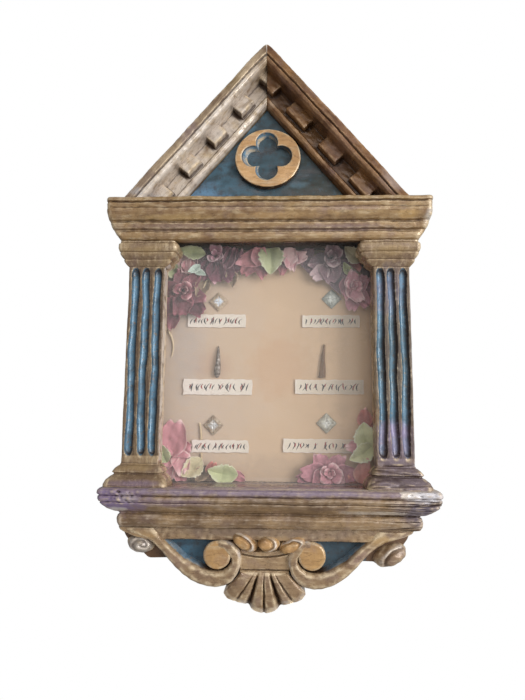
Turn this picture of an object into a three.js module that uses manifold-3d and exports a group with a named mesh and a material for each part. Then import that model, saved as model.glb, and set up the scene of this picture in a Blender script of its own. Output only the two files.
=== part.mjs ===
// Wall reliquary: a gabled wooden case with two fluted pilasters, a glazed compartment and a carved apron.
// Millimetres, +Z up. The back lies on y = 0 and the front looks along -Y.
// The origin is on the back, half way up the pilasters.
// A depth is a distance forward from the back face, so a point at depth d has y = -d.
import * as THREE from "three";
import { mergeVertices } from "three/addons/utils/BufferGeometryUtils.js";
import Module from "manifold-3d";

const wasm = await Module();
wasm.setup();

const GAP = 0.3; // clearance between neighbouring pieces
const BEVEL_SHARE = 0.7; // width of an eased arris for each millimetre of its depth
const CORNER_STEPS = 3;
const FLUTE_CAP_STEPS = 3;
const FLUTE_SIDES = 14;
const BALL_SIDES = 14;
const BALL_RINGS = 8;
const FAR = 400; // longer than any piece, for cutters

// Depths
const BACK_FRONT = 8;
const CASE_BACK = BACK_FRONT + GAP;
const RELIC_BOARD_FRONT = 14;
const GLASS_BACK = 31.7;
const GLASS_FRONT = 33.7;
const PILASTER_BACK = GLASS_FRONT + GAP;
const PILASTER_FRONT = 46;
const TYMPANUM_BACK = 28;
const TYMPANUM_FRONT = 38;
const ROUNDEL_FRONT = 43;
const APRON_BACK = 20;
const APRON_GROUND = 41;
const SCROLL_FRONT = 50;
const SCROLL_BACK = 22;

// Compartment
const ROOM_HALF = 78;
const ROOM_FLOOR = -84.5;
const ROOM_CEILING = 89;
const SIDE_OUTER = 88;
const BACK_INSET = 5; // how far the back board stays behind the edges of the gable
const BACK_FOOT = -108;

// Pilasters: |x| of the two edges of the shaft, and its flutes
const SHAFT_INNER = 72.8;
const SHAFT_OUTER = 98;
const SHAFT_CORNER = 0.7;
const CORNER_SHARE = 0.3; // a step's corners are rounded by this share of its overhang
const CAPITAL_FOOT = 66;
const CAPITAL_SPREAD = 1.5; // how much further the capital reaches inwards than outwards
const BASE_SPREAD = 0.8;
const FLUTES = 3;
const FLUTE_PITCH = 7.9;
const FLUTE_RADIUS = 2.75;
const FLUTE_TOP = 65.2;
const FLUTE_BOTTOM = -65;

// Height of each step of a moulding and how far it stands out from the face of the pilaster
const BASE_STEPS = [
  [-84.2, 9.6],
  [-82.6, 9.6],
  [-79.6, 8.0],
  [-77.4, 5.4],
  [-76.7, 3.8],
  [-75.9, 3.8],
  [-75.2, 5.0],
  [-72.8, 3.4],
  [-71.4, 1.8],
  [-70.9, 0.5],
  [-70.3, 0.5],
  [-69.7, 0],
];
const CAPITAL_STEPS = [
  [0, 0],
  [0.8, 1.0],
  [2.6, 2.6],
  [4.2, 3.4],
  [4.7, 2.7],
  [5.4, 3.5],
  [7.0, 5.0],
  [8.8, 5.9],
  [9.3, 5.1],
  [10.2, 6.3],
  [12, 6.9],
  [15.2, 6.8],
  [15.8, 5.7],
  [17.2, 5.7],
];

// Entablature
const CORNICE_BASE = 83.5;
const CORNICE_HALF = 95.5; // half width under the overhang
const CORNICE_CORNER = 3.2;
const CORNICE_END = 16; // how far the two ends stand out at the top
const CORNICE_TUCK = 8.5; // and how much less at the foot
const CORNICE_TUCK_RISE = 19;
const CORNICE_STEPS = [
  [0, 5.2],
  [0.9, 7.0],
  [2.4, 7.8],
  [4.9, 8.2],
  [5.5, 7.2],
  [6.9, 7.4],
  [7.5, 9.4],
  [11.0, 10.4],
  [11.6, 9.4],
  [12.7, 9.6],
  [13.3, 11.5],
  [15.6, 13.6],
  [18.0, 14.8],
  [19.8, 15.1],
  [20.5, 14.5],
  [21.6, 15.2],
  [23.6, 15.8],
  [24.2, 14.4],
  [24.9, 14.4],
  [25.4, 16],
  [27.2, 16],
  [28.0, 15],
];
const CORNICE_TOP = CORNICE_BASE + 28;

// Gable
const GABLE_X = -1.8; // it sits a little left of the middle
const GABLE_HALF = 98.6;
const GABLE_SLOPE = THREE.MathUtils.degToRad(50);
const GABLE_APEX = CORNICE_TOP + GABLE_HALF * Math.tan(GABLE_SLOPE);
const GABLE_BLUNT = 1.4;
// Section of a rake: distance inwards from its upper edge, and depth
const RAKE_WIDTH = 25.8;
const RAKE_SECTION = [
  [0, CASE_BACK],
  [0, 59],
  [0.8, 60],
  [5.2, 60],
  [5.9, 58.4],
  [6.7, 59.2],
  [8.6, 58.8],
  [9.9, 57.2],
  [10.3, 55.4],
  [10.5, 43.4],
  [21.3, 43.6],
  [21.9, 45],
  [23.6, 44.8],
  [25.1, 43.4],
  [RAKE_WIDTH, 41],
  [RAKE_WIDTH, CASE_BACK],
];
// Blocks stand in the channel of a rake: their two edges across it, back and front
const BLOCK_FROM = 9;
const BLOCK_TO = 18.9;
const BLOCK_BACK = 42;
const BLOCK_FRONT = 50;
// They were set out by hand: middle of the lowest one along the upper edge, pitch, length and number
const BLOCKS = {
  left: { first: 20.8, pitch: 29.8, length: 14, count: 5 },
  right: { first: 29.5, pitch: 35, length: 19.2, count: 4 },
};

// Roundel with a pierced quatrefoil
const ROUNDEL_X = -0.9;
const ROUNDEL_Z = 148.8;
const ROUNDEL_HALF_WIDTH = 23.9;
const ROUNDEL_HALF_HEIGHT = 22.3;
const ROUNDEL_STEPS = 40;
const LOBES = 4;
const LOBE_X = -1.7; // middle of the quatrefoil
const LOBE_Z = 150.2;
const LOBE_RADIUS = 8;
const LOBE_OFFSET = 10.2;
const LOBE_STEPS = 20;
const LOBE_CORE = 5.4; // half the side of the square where the four lobes meet

// Sill
const SILL_X = 1.6; // it sits a little right of the middle
const SILL_HALF = 93.7;
const SILL_CORNER = 3;
// Height of each step, and how far it stands out at the front and at the ends
const SILL_STEPS = [
  [-110, 4.4, 3.0],
  [-109.3, 6.2, 4.2],
  [-106.8, 8.0, 5.0],
  [-104.0, 8.4, 5.2],
  [-102.0, 7.4, 4.8],
  [-101.2, 5.8, 4.0],
  [-100.2, 6.0, 5.0],
  [-99.6, 8.2, 7.4],
  [-97.6, 11.0, 11.0],
  [-95.4, 13.4, 13.6],
  [-94.0, 14.4, 14.8],
  [-93.3, 13.6, 14.6],
  [-92.7, 15.0, 15.4],
  [-91.2, 15.8, 16.0],
  [-89.8, 15.3, 16.0],
  [-89.1, 14.2, 15.4],
  [-88.5, 15.6, 16.0],
  [-87.6, 16.4, 16.6],
  [-85.6, 16.3, 16.3],
  [-84.5, 15.2, 15.2],
];

// Apron: half outlines as distance from its middle and height
const APRON_X = -0.8; // middle of the carving
const APRON_TOP = -110.3;
const BAND_FOOT = -117.8;
const BAND_HALF = 96;
const BAND_FRONT = 49;
const BAND_BACK = 21;
const BAND_BEVEL = 1;
const BAND_CHAMFER = 4;
const GROUND_OUTLINE = [
  [0, APRON_TOP],
  [95, APRON_TOP],
  [94, -116],
  [90, -121.4],
  [82, -127],
  [77, -131.4],
  [64, -131],
  [58, -132.5],
  [48, -139.5],
  [38, -144],
  [27, -144.5],
  [24, -149],
  [16, -152],
  [6, -157],
  [0, -158],
];
const SCROLL_OUTER = [
  [95, -111],
  [90, -114.4],
  [84, -116.2],
  [78, -117.8],
  [72.4, -121.2],
  [67.2, -125.8],
  [63, -130.3],
  [58.8, -134.8],
  [53.8, -139.3],
  [48.8, -142.9],
  [43.2, -145.7],
  [37.6, -147.3],
  [32, -147.9],
  [26.2, -146.9],
  [21.2, -144.3],
  [17.4, -139.8],
  [15.2, -134],
  [14.6, -128.6],
  [16, -123.6],
  [19.4, -119.8],
  [24.4, -117.9],
];
const SCROLL_INNER = [
  [22.3, -132.6],
  [24.3, -136.6],
  [28.6, -139.3],
  [34, -139.7],
  [40, -138],
  [46, -134.5],
  [52, -129.8],
  [58, -124.7],
  [63.6, -120],
  [67, -117],
  [69, -112],
];
const SCROLL_BEVEL = 2;
const EYE_U = 30.4;
const EYE_Z = -126.6;
const EYE_RADIUS = 8.6;
const EYE_STEPS = 14;
const EYE_TURN = Math.PI * 1.33; // how far the slot goes round the eye
const BOSS_INSET = 1;
const BOSS_STEPS = 20;
const EYE_RAISE = 1.6;
const NECK_HALF = 16;
const NECK_TOP = -124.6;
const NECK_FOOT = -138.4;
const NECK_FRONT = 46.5;
const NECK_BACK = 23;
const NECK_LINES = [-127.6, -136.6];
const NECK_LINE_WIDTH = 1.1;
const NECK_LINE_DEPTH = 1.8;
const SHELL_OUTLINE = [
  [0, -137.4],
  [14.8, -137.4],
  [18.8, -142],
  [24, -146.5],
  [26.6, -150.6],
  [24, -154.2],
  [18.4, -156.4],
  [13.2, -157.2],
  [10.2, -159],
  [6, -161.6],
  [0, -162.9],
];
const SHELL_BACK = 26;
const SHELL_FRONT = 49.5;
const SHELL_BEVEL = 2.6;
// Grooves between the ribs of the shell: upper u, lower u and width at the foot
const SHELL_GROOVES = [
  [0, 0, 1.8],
  [7.4, 10.6, 3.4],
  [-7.4, -10.6, 3.4],
  [15.2, 18.8, 1.6],
  [-15.2, -18.8, 1.6],
];
const SHELL_GROOVE_TOP = -139;
const SHELL_GROOVE_FOOT = -164;
const SHELL_GROOVE_FLOOR = 45.6;
const SHELL_GROOVE_START = 0.2; // half width at the top as a share of the width at the foot
// Carved ovals: distance from the middle, height, half sizes along, across and forwards, and tilt
const OVALS = [
  { u: -82.9, z: -122.8, along: 10.3, across: 6.9, forwards: 6.5, tilt: 0 },
  { u: 81.7, z: -128.1, along: 11, across: 7.4, forwards: 6.5, tilt: 0.3 },
  { u: -13, z: -120.4, along: 8.8, across: 4.2, forwards: 7, tilt: -0.55 },
  { u: 17, z: -121, along: 9.4, across: 4.2, forwards: 7, tilt: 0.33 },
  { u: 0.5, z: -120.2, along: 6.6, across: 5.2, forwards: 7.6, tilt: 0 },
];

// Contents of the compartment, each at [x, z]
const LABEL_THICK = 0.5;
const LABELS = [
  [-39, 33.5, 43.6, 9.8],
  [46.4, 33.3, 42.4, 9.2],
  [-37.4, -16.2, 51, 11.4],
  [44.8, -15.7, 50, 10.4],
  [-34.6, -59.4, 41.4, 8.8],
  [36.6, -58.4, 51, 9.8],
];
const PACKETS = [
  [-37.9, 48.2],
  [47, 50.4],
  [-40.1, -44.3],
  [42.6, -42.1],
];
const PACKET_CORNERS = 4;
const PACKET_HALF = 7.5;
const PACKET_THICK = 1.4;
const THORN = { x: -37.9, foot: -9.4, top: 14.5, radius: 2.4 };
const SPLINTER = { x: 39.4, foot: -8.9, top: 15.6, half: 2.6, tip: 1.1, thick: 3 };
const LEAF_BACK = 15.2;
const LEAF_FRONT = 16.4;
const BLOOM_BACK = LEAF_FRONT + GAP;
const BLOOM_STEPS = 18;
// Section of a bloom, in shares of its radius and height
const BLOOM_SECTION = [
  [0, 0],
  [0.8, 0],
  [1, 0.35],
  [0.8, 0.75],
  [0.35, 1],
  [0, 0.92],
];
// Outline of a leaf, in shares of its half width and half length
const LEAF_OUTLINE = [
  [0, -1],
  [0.8, -0.45],
  [1, 0.1],
  [0.6, 0.6],
  [0, 1],
  [-0.6, 0.6],
  [-1, 0.1],
  [-0.8, -0.45],
];
// Each bloom: x, z, radius and height
const BLOOMS = {
  rose_top_left: [-40, 77, 14, 12],
  rose_left: [-62.6, 51, 15, 12.5],
  rose_top_right: [46.5, 77.5, 14.5, 11],
  rose_right: [64, 54, 13.4, 12],
  pink_top_left: [-61.5, 79, 7.3, 9],
  pink_top: [-12, 79, 11, 9],
  pink_top_middle: [15.6, 82, 8.4, 9],
  petals_low_left: [-65.5, -56, 12, 12],
  petals_foot_left: [-63, -77.5, 9.2, 10],
  rose_foot_right: [41, -78.5, 14, 11],
  petals_foot_right: [65.6, -76.5, 9.2, 10],
  petals_low_right: [60.8, -58, 6, 8],
  petals_right: [69.2, -38, 7, 8],
};
// Each leaf: x, z, half length, half width and turn from upright
const LEAVES = {
  leaf_top_left: [-58, 86, 10, 6, 1.5],
  leaf_left: [-72, 69, 8, 5, 0.7],
  leaf_top: [3.4, 79, 11.5, 6, 3.2],
  leaf_top_right: [60.5, 84, 6, 5, 1.2],
  leaf_low_left: [-72.6, -67, 7, 4.4, 0.4],
  leaf_cream: [-51.5, -71, 9, 6.2, 2.6],
  leaf_foot: [-33, -80, 9.5, 5.2, 1.4],
  leaf_right: [70, -54, 12, 5, 0.2],
};

const GOLD = 0x97794f;
const TEAL = 0x415f6e;
const COLOURS = {
  wood: 0x7a5f42,
  linen: 0xcdaf91,
  paper: 0xe0d2be,
  silver: 0x9c9a98,
  bark: 0x7d5b40,
  rose: 0x7d4a55,
  pink: 0xb8747c,
  leaf: 0x9aa277,
  glass: 0xdfe8e8,
};

// A closed three.js geometry as a solid for joining and cutting.
function solid(geometry) {
  const bare = new THREE.BufferGeometry();
  bare.setAttribute("position", geometry.getAttribute("position").clone());
  bare.setIndex(geometry.index);
  const merged = mergeVertices(bare, 1e-4);
  return new wasm.Manifold(
    new wasm.Mesh({
      numProp: 3,
      vertProperties: merged.getAttribute("position").array,
      triVerts: new Uint32Array(merged.index.array),
    }),
  );
}

function box(left, right, back, front, foot, top) {
  const geometry = new THREE.BoxGeometry(right - left, front - back, top - foot);
  geometry.translate((left + right) / 2, -(back + front) / 2, (foot + top) / 2);
  return solid(geometry);
}

function shapeOf(points) {
  return new THREE.Shape(points.map(([a, b]) => new THREE.Vector2(a, b)));
}

// An outline in x and z, cut from a board between two depths, with its front arrises eased by the bevel.
function plate(points, back, front, bevel = 0) {
  const geometry = new THREE.ExtrudeGeometry(shapeOf(points), {
    depth: front - back - 2 * bevel,
    bevelEnabled: bevel > 0,
    bevelThickness: bevel,
    bevelSize: bevel * BEVEL_SHARE,
    bevelOffset: -bevel * BEVEL_SHARE,
    bevelSegments: 2,
    steps: 1,
  });
  geometry.translate(0, 0, bevel);
  geometry.rotateX(Math.PI / 2);
  geometry.translate(0, -back, 0);
  return solid(geometry);
}

// A section drawn on two axes and run along the third, with its middle at a point.
function run(section, across, deep, length, middle) {
  const along = new THREE.Vector3().crossVectors(across, deep);
  const shape = shapeOf(section);
  const geometry = new THREE.ExtrudeGeometry(shape, { depth: length, bevelEnabled: false, steps: 1 });
  geometry.translate(0, 0, -length / 2);
  geometry.applyMatrix4(new THREE.Matrix4().makeBasis(across, deep, along));
  geometry.translate(middle.x, middle.y, middle.z);
  return solid(geometry);
}

// A block whose plan changes from level to level: a rectangle with its two front corners rounded.
function stacked(levels) {
  const positions = [];
  levels.forEach(({ z, left, right, back, front, corner }) => {
    const ring = [[left, -back]];
    const arcs = [
      [left + corner, Math.PI],
      [right - corner, 1.5 * Math.PI],
    ];
    arcs.forEach(([middle, start]) => {
      for (let i = 0; i <= CORNER_STEPS; i++) {
        const turn = start + ((i / CORNER_STEPS) * Math.PI) / 2;
        ring.push([middle + corner * Math.cos(turn), corner - front + corner * Math.sin(turn)]);
      }
    });
    ring.push([right, -back]);
    ring.forEach(([x, y]) => positions.push(x, y, z));
  });
  const count = positions.length / 3 / levels.length;
  const faces = [];
  for (let k = 0; k + 1 < levels.length; k++) {
    for (let i = 0; i < count; i++) {
      const a = k * count + i;
      const b = k * count + ((i + 1) % count);
      faces.push(a, b, b + count, a, b + count, a + count);
    }
  }
  const top = (levels.length - 1) * count;
  for (let i = 1; i + 1 < count; i++) {
    faces.push(0, i + 1, i);
    faces.push(top, top + i, top + i + 1);
  }
  const geometry = new THREE.BufferGeometry();
  geometry.setAttribute("position", new THREE.Float32BufferAttribute(positions, 3));
  geometry.setIndex(faces);
  return solid(geometry);
}

// A squashed ball, turned in the plane of the front.
function cushion(x, z, depth, radii, tilt = 0) {
  const geometry = new THREE.SphereGeometry(1, BALL_SIDES, BALL_RINGS);
  geometry.scale(radii[0], radii[1], radii[2]);
  geometry.rotateY(-tilt);
  geometry.translate(x, -depth, z);
  return solid(geometry);
}

const reliquary = new THREE.Group();
reliquary.name = "wall_reliquary";

function add(name, body, colour, finish = {}) {
  const made = body.getMesh();
  const geometry = new THREE.BufferGeometry();
  geometry.setAttribute("position", new THREE.BufferAttribute(new Float32Array(made.vertProperties), 3));
  geometry.setIndex(new THREE.BufferAttribute(new Uint32Array(made.triVerts), 1));
  geometry.computeVertexNormals();
  const material = new THREE.MeshStandardMaterial({ color: colour, roughness: 0.7, ...finish });
  const mesh = new THREE.Mesh(geometry, material);
  mesh.name = name;
  reliquary.add(mesh);
}

// Case
const backHalf = GABLE_HALF - BACK_INSET;
add(
  "back_board",
  plate(
    [
      [GABLE_X - backHalf, BACK_FOOT],
      [GABLE_X + backHalf, BACK_FOOT],
      [GABLE_X + backHalf, CORNICE_TOP],
      [GABLE_X, CORNICE_TOP + backHalf * Math.tan(GABLE_SLOPE)],
      [GABLE_X - backHalf, CORNICE_TOP],
    ],
    0,
    BACK_FRONT,
  ),
  COLOURS.wood,
);
const sideFoot = ROOM_FLOOR + GAP;
const sideTop = CORNICE_BASE - GAP;
const sideInner = ROOM_HALF + GAP;
add("left_side", box(-SIDE_OUTER, -sideInner, CASE_BACK, GLASS_FRONT, sideFoot, sideTop), COLOURS.wood);
add("right_side", box(sideInner, SIDE_OUTER, CASE_BACK, GLASS_FRONT, sideFoot, sideTop), COLOURS.wood);

// Pilasters: base, shaft and capital in one piece, then the flutes cut from the shaft.
function pilaster(side) {
  const levels = [];
  const level = (z, out, spread) => {
    const outer = side * (SHAFT_OUTER + out);
    const inner = side * (SHAFT_INNER - out * spread);
    levels.push({
      z,
      left: Math.min(outer, inner),
      right: Math.max(outer, inner),
      back: PILASTER_BACK,
      front: PILASTER_FRONT + out,
      corner: SHAFT_CORNER + out * CORNER_SHARE,
    });
  };
  BASE_STEPS.forEach(([z, out]) => level(z, out, BASE_SPREAD));
  CAPITAL_STEPS.forEach(([rise, out]) => level(CAPITAL_FOOT + rise, out, CAPITAL_SPREAD));
  let body = stacked(levels);
  const middle = (SHAFT_INNER + SHAFT_OUTER) / 2;
  const straight = FLUTE_TOP - FLUTE_BOTTOM - 2 * FLUTE_RADIUS;
  for (let i = 0; i < FLUTES; i++) {
    const flute = new THREE.CapsuleGeometry(FLUTE_RADIUS, straight, FLUTE_CAP_STEPS, FLUTE_SIDES, 1);
    flute.rotateX(Math.PI / 2);
    const x = middle + (i - (FLUTES - 1) / 2) * FLUTE_PITCH;
    flute.translate(side * x, -PILASTER_FRONT, (FLUTE_TOP + FLUTE_BOTTOM) / 2);
    body = body.subtract(solid(flute));
  }
  return body;
}
add("left_pilaster", pilaster(-1), GOLD);
add("right_pilaster", pilaster(1), GOLD);

// Entablature and sill, from steps of height, overhang at the front and overhang at the ends
function plank(steps, middle, half, corner) {
  return stacked(
    steps.map(([z, out, end]) => ({
      z,
      left: middle - half - end,
      right: middle + half + end,
      back: CASE_BACK,
      front: PILASTER_FRONT + out,
      corner,
    })),
  );
}
const corniceSteps = CORNICE_STEPS.map(([rise, out]) => {
  const tucked = 1 - Math.min(1, rise / CORNICE_TUCK_RISE);
  return [CORNICE_BASE + rise, out, CORNICE_END - CORNICE_TUCK * tucked ** 2];
});
const roomAbove = box(-sideInner, sideInner, 0, PILASTER_FRONT, 0, ROOM_CEILING);
add("entablature", plank(corniceSteps, 0, CORNICE_HALF, CORNICE_CORNER).subtract(roomAbove), GOLD);
add("sill", plank(SILL_STEPS, SILL_X, SILL_HALF, SILL_CORNER), GOLD);

// Gable
function rake(side) {
  const cos = Math.cos(GABLE_SLOPE);
  const sin = Math.sin(GABLE_SLOPE);
  const inwards = new THREE.Vector3(-side * sin, 0, -cos);
  const forwards = new THREE.Vector3(0, -1, 0);
  const edgePoint = (along) =>
    new THREE.Vector3(GABLE_X + side * (GABLE_HALF - along * cos), 0, CORNICE_TOP + along * sin);
  const length = GABLE_HALF / cos;
  let body = run(RAKE_SECTION, inwards, forwards, 2 * length, edgePoint(length / 2));
  const block = [
    [BLOCK_FROM, BLOCK_BACK],
    [BLOCK_TO, BLOCK_BACK],
    [BLOCK_TO, BLOCK_FRONT],
    [BLOCK_FROM, BLOCK_FRONT],
  ];
  const row = side < 0 ? BLOCKS.left : BLOCKS.right;
  for (let i = 0; i < row.count; i++) {
    const place = edgePoint(row.first + i * row.pitch);
    body = body.add(run(block, inwards, forwards, row.length, place));
  }
  const mitre = GABLE_X + (side * GAP) / 2;
  const beyond = side < 0 ? box(mitre, FAR, -FAR, FAR, -FAR, FAR) : box(-FAR, mitre, -FAR, FAR, -FAR, FAR);
  body = body.subtract(beyond);
  body = body.subtract(box(-FAR, FAR, -FAR, FAR, -FAR, CORNICE_TOP + GAP));
  return body.subtract(box(-FAR, FAR, -FAR, FAR, GABLE_APEX - GABLE_BLUNT, FAR));
}
add("left_rake", rake(-1), GOLD);
add("right_rake", rake(1), GOLD);

const tympanumApex = GABLE_APEX - (RAKE_WIDTH + GAP) / Math.cos(GABLE_SLOPE);
const tympanumFoot = CORNICE_TOP + GAP;
const tympanumHalf = (tympanumApex - tympanumFoot) / Math.tan(GABLE_SLOPE);
add(
  "tympanum",
  plate(
    [
      [GABLE_X - tympanumHalf, tympanumFoot],
      [GABLE_X + tympanumHalf, tympanumFoot],
      [GABLE_X, tympanumApex],
    ],
    TYMPANUM_BACK,
    TYMPANUM_FRONT,
  ),
  TEAL,
);

function oval(x, z, halfWidth, halfHeight, steps) {
  const points = [];
  for (let i = 0; i < steps; i++) {
    const turn = (2 * Math.PI * i) / steps;
    points.push([x + halfWidth * Math.cos(turn), z + halfHeight * Math.sin(turn)]);
  }
  return points;
}
const circle = (x, z, radius, steps) => oval(x, z, radius, radius, steps);
let roundel = plate(
  oval(ROUNDEL_X, ROUNDEL_Z, ROUNDEL_HALF_WIDTH, ROUNDEL_HALF_HEIGHT, ROUNDEL_STEPS),
  TYMPANUM_FRONT + GAP,
  ROUNDEL_FRONT,
);
for (let i = 0; i < LOBES; i++) {
  const turn = (2 * Math.PI * i) / LOBES;
  const x = LOBE_X + LOBE_OFFSET * Math.cos(turn);
  const z = LOBE_Z + LOBE_OFFSET * Math.sin(turn);
  roundel = roundel.subtract(plate(circle(x, z, LOBE_RADIUS, LOBE_STEPS), 0, FAR));
}
roundel = roundel.subtract(
  box(LOBE_X - LOBE_CORE, LOBE_X + LOBE_CORE, 0, FAR, LOBE_Z - LOBE_CORE, LOBE_Z + LOBE_CORE),
);
add("quatrefoil_roundel", roundel, GOLD);

// Apron
const onSide = (points, side) => points.map(([u, z]) => [APRON_X + side * u, z]);
const mirrored = (points) => [
  ...onSide(points, 1),
  ...onSide(points, -1)
    .reverse()
    .filter(([x]) => x !== APRON_X),
];

// One scroll: a band that runs in from the end, turns under the eye and joins it, leaving a spiral slot.
function scroll(side) {
  const eye = [];
  for (let i = 0; i <= EYE_STEPS; i++) {
    const turn = Math.PI / 2 - (i / EYE_STEPS) * EYE_TURN;
    eye.push([EYE_U + EYE_RADIUS * Math.cos(turn), EYE_Z + EYE_RADIUS * Math.sin(turn)]);
  }
  const band = plate(
    onSide([...SCROLL_OUTER, ...eye, ...SCROLL_INNER], side),
    SCROLL_BACK,
    SCROLL_FRONT,
    SCROLL_BEVEL,
  );
  const boss = plate(
    circle(APRON_X + side * EYE_U, EYE_Z, EYE_RADIUS - BOSS_INSET, BOSS_STEPS),
    APRON_GROUND,
    SCROLL_FRONT + EYE_RAISE,
    EYE_RAISE,
  );
  return band.add(boss);
}

function apron() {
  let body = plate(mirrored(GROUND_OUTLINE), APRON_BACK, APRON_GROUND);
  body = body.add(
    plate(
      mirrored([
        [0, APRON_TOP],
        [BAND_HALF, APRON_TOP],
        [BAND_HALF - BAND_CHAMFER / 2, BAND_FOOT + BAND_CHAMFER / 2],
        [BAND_HALF - BAND_CHAMFER, BAND_FOOT],
        [0, BAND_FOOT],
      ]),
      BAND_BACK,
      BAND_FRONT,
      BAND_BEVEL,
    ),
  );
  const neck = box(APRON_X - NECK_HALF, APRON_X + NECK_HALF, NECK_BACK, NECK_FRONT, NECK_FOOT, NECK_TOP);
  body = body.add(neck);
  NECK_LINES.forEach((z) => {
    const half = NECK_LINE_WIDTH / 2;
    const floor = NECK_FRONT - NECK_LINE_DEPTH;
    body = body.subtract(box(-FAR, FAR, floor, FAR, z - half, z + half));
  });
  let shell = plate(mirrored(SHELL_OUTLINE), SHELL_BACK, SHELL_FRONT, SHELL_BEVEL);
  SHELL_GROOVES.forEach(([upper, lower, width]) => {
    const groove = [
      [APRON_X + upper - width * SHELL_GROOVE_START, SHELL_GROOVE_TOP],
      [APRON_X + lower - width / 2, SHELL_GROOVE_FOOT],
      [APRON_X + lower + width / 2, SHELL_GROOVE_FOOT],
      [APRON_X + upper + width * SHELL_GROOVE_START, SHELL_GROOVE_TOP],
    ];
    shell = shell.subtract(plate(groove, SHELL_GROOVE_FLOOR, FAR));
  });
  body = body.add(shell);
  body = body.add(scroll(-1)).add(scroll(1));
  OVALS.forEach(({ u, z, along, across, forwards, tilt }) => {
    body = body.add(cushion(APRON_X + u, z, APRON_GROUND, [along, forwards, across], tilt));
  });
  return body;
}
add("apron", apron(), GOLD);

// Compartment
const roomFoot = ROOM_FLOOR + GAP;
const roomTop = ROOM_CEILING - GAP;
const relicBoard = box(-ROOM_HALF, ROOM_HALF, CASE_BACK, RELIC_BOARD_FRONT, roomFoot, roomTop);
add("relic_board", relicBoard, COLOURS.linen);
add("glass_pane", box(-ROOM_HALF, ROOM_HALF, GLASS_BACK, GLASS_FRONT, roomFoot, roomTop), COLOURS.glass, {
  roughness: 0.05,
  transparent: true,
  opacity: 0.2,
});

const onBoard = RELIC_BOARD_FRONT + GAP;
LABELS.forEach(([x, z, width, height], i) => {
  const strip = box(
    x - width / 2,
    x + width / 2,
    onBoard,
    onBoard + LABEL_THICK,
    z - height / 2,
    z + height / 2,
  );
  add("label_" + (i + 1), strip, COLOURS.paper);
});
PACKETS.forEach(([x, z], i) => {
  const lozenge = plate(circle(x, z, PACKET_HALF, PACKET_CORNERS), onBoard, onBoard + PACKET_THICK);
  add("packet_" + (i + 1), lozenge, COLOURS.silver);
});
const thornMiddle = (THORN.foot + THORN.top) / 2;
const thornHalf = (THORN.top - THORN.foot) / 2;
const thornDepth = onBoard + THORN.radius;
const thornRadii = [THORN.radius, THORN.radius, thornHalf];
add("thorn", cushion(THORN.x, thornMiddle, thornDepth, thornRadii), COLOURS.silver);
add(
  "splinter",
  plate(
    [
      [SPLINTER.x - SPLINTER.half, SPLINTER.foot],
      [SPLINTER.x + SPLINTER.half, SPLINTER.foot],
      [SPLINTER.x + SPLINTER.half, SPLINTER.top],
      [SPLINTER.x + SPLINTER.half - SPLINTER.tip, SPLINTER.top],
    ],
    onBoard,
    onBoard + SPLINTER.thick,
  ),
  COLOURS.bark,
);

// Flowers and leaves, kept inside the compartment
const room = box(-ROOM_HALF, ROOM_HALF, onBoard, GLASS_BACK - GAP, roomFoot, roomTop);
Object.entries(LEAVES).forEach(([name, [x, z, long, wide, turn]]) => {
  const cos = Math.cos(turn);
  const sin = Math.sin(turn);
  const outline = LEAF_OUTLINE.map(([across, along]) => [
    x + across * wide * cos - along * long * sin,
    z + across * wide * sin + along * long * cos,
  ]);
  add(name, plate(outline, LEAF_BACK, LEAF_FRONT).intersect(room), COLOURS.leaf);
});
Object.entries(BLOOMS).forEach(([name, [x, z, radius, height]]) => {
  const section = BLOOM_SECTION.map(([out, up]) => new THREE.Vector2(out * radius, up * height));
  const dome = new THREE.LatheGeometry(section, BLOOM_STEPS);
  dome.rotateX(Math.PI);
  dome.translate(x, -BLOOM_BACK, z);
  add(name, solid(dome).intersect(room), name.startsWith("rose") ? COLOURS.rose : COLOURS.pink);
});

export default reliquary;
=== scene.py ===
# %% [markdown]
# A lesson: building the outer look of a small wall reliquary
#
# The case is a gabled wooden shrine, carved, gilded with dull bronze leaf and painted blue in its
# recesses. A pane closes the compartment, where relics and cloth flowers lie on a papered board. We
# first load the measured frame, because every piece that we shape has to sit on it.

# %% load the frame
import math

import bmesh
import bpy
import numpy as np
from mathutils import Matrix, Vector


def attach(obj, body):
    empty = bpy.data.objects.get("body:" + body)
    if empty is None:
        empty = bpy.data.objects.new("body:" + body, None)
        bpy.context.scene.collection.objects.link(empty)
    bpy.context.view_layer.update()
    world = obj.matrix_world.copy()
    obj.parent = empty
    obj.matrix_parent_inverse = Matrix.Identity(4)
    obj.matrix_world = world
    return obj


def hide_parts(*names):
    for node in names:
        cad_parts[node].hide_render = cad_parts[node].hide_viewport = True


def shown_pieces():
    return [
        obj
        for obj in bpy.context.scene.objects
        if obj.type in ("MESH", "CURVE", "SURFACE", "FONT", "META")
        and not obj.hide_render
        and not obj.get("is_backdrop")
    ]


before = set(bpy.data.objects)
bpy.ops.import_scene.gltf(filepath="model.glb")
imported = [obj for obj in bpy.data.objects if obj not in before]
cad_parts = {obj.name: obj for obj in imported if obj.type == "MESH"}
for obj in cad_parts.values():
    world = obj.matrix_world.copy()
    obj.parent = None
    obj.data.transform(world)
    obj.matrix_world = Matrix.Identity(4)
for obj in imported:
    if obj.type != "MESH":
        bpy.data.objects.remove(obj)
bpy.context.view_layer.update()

# %% [markdown]
# We work in millimetres and turn them into metres only when a mesh is made. Depth is counted
# forward from the wall, so a point at depth d lies at y = -d.

# %% from millimetres to the frame
MM = 0.001


def placed(x, depth, z):
    """Points in millimetres as one list of x, y, z rows: y is the depth with its sign turned."""
    x, depth, z = np.broadcast_arrays(x, depth, z)
    return np.stack([x, -depth, z], axis=-1).reshape(-1, 3).astype(float)


print("a point 46 mm in front of the wall:", placed(0.0, 46.0, 0.0)[0])

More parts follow.
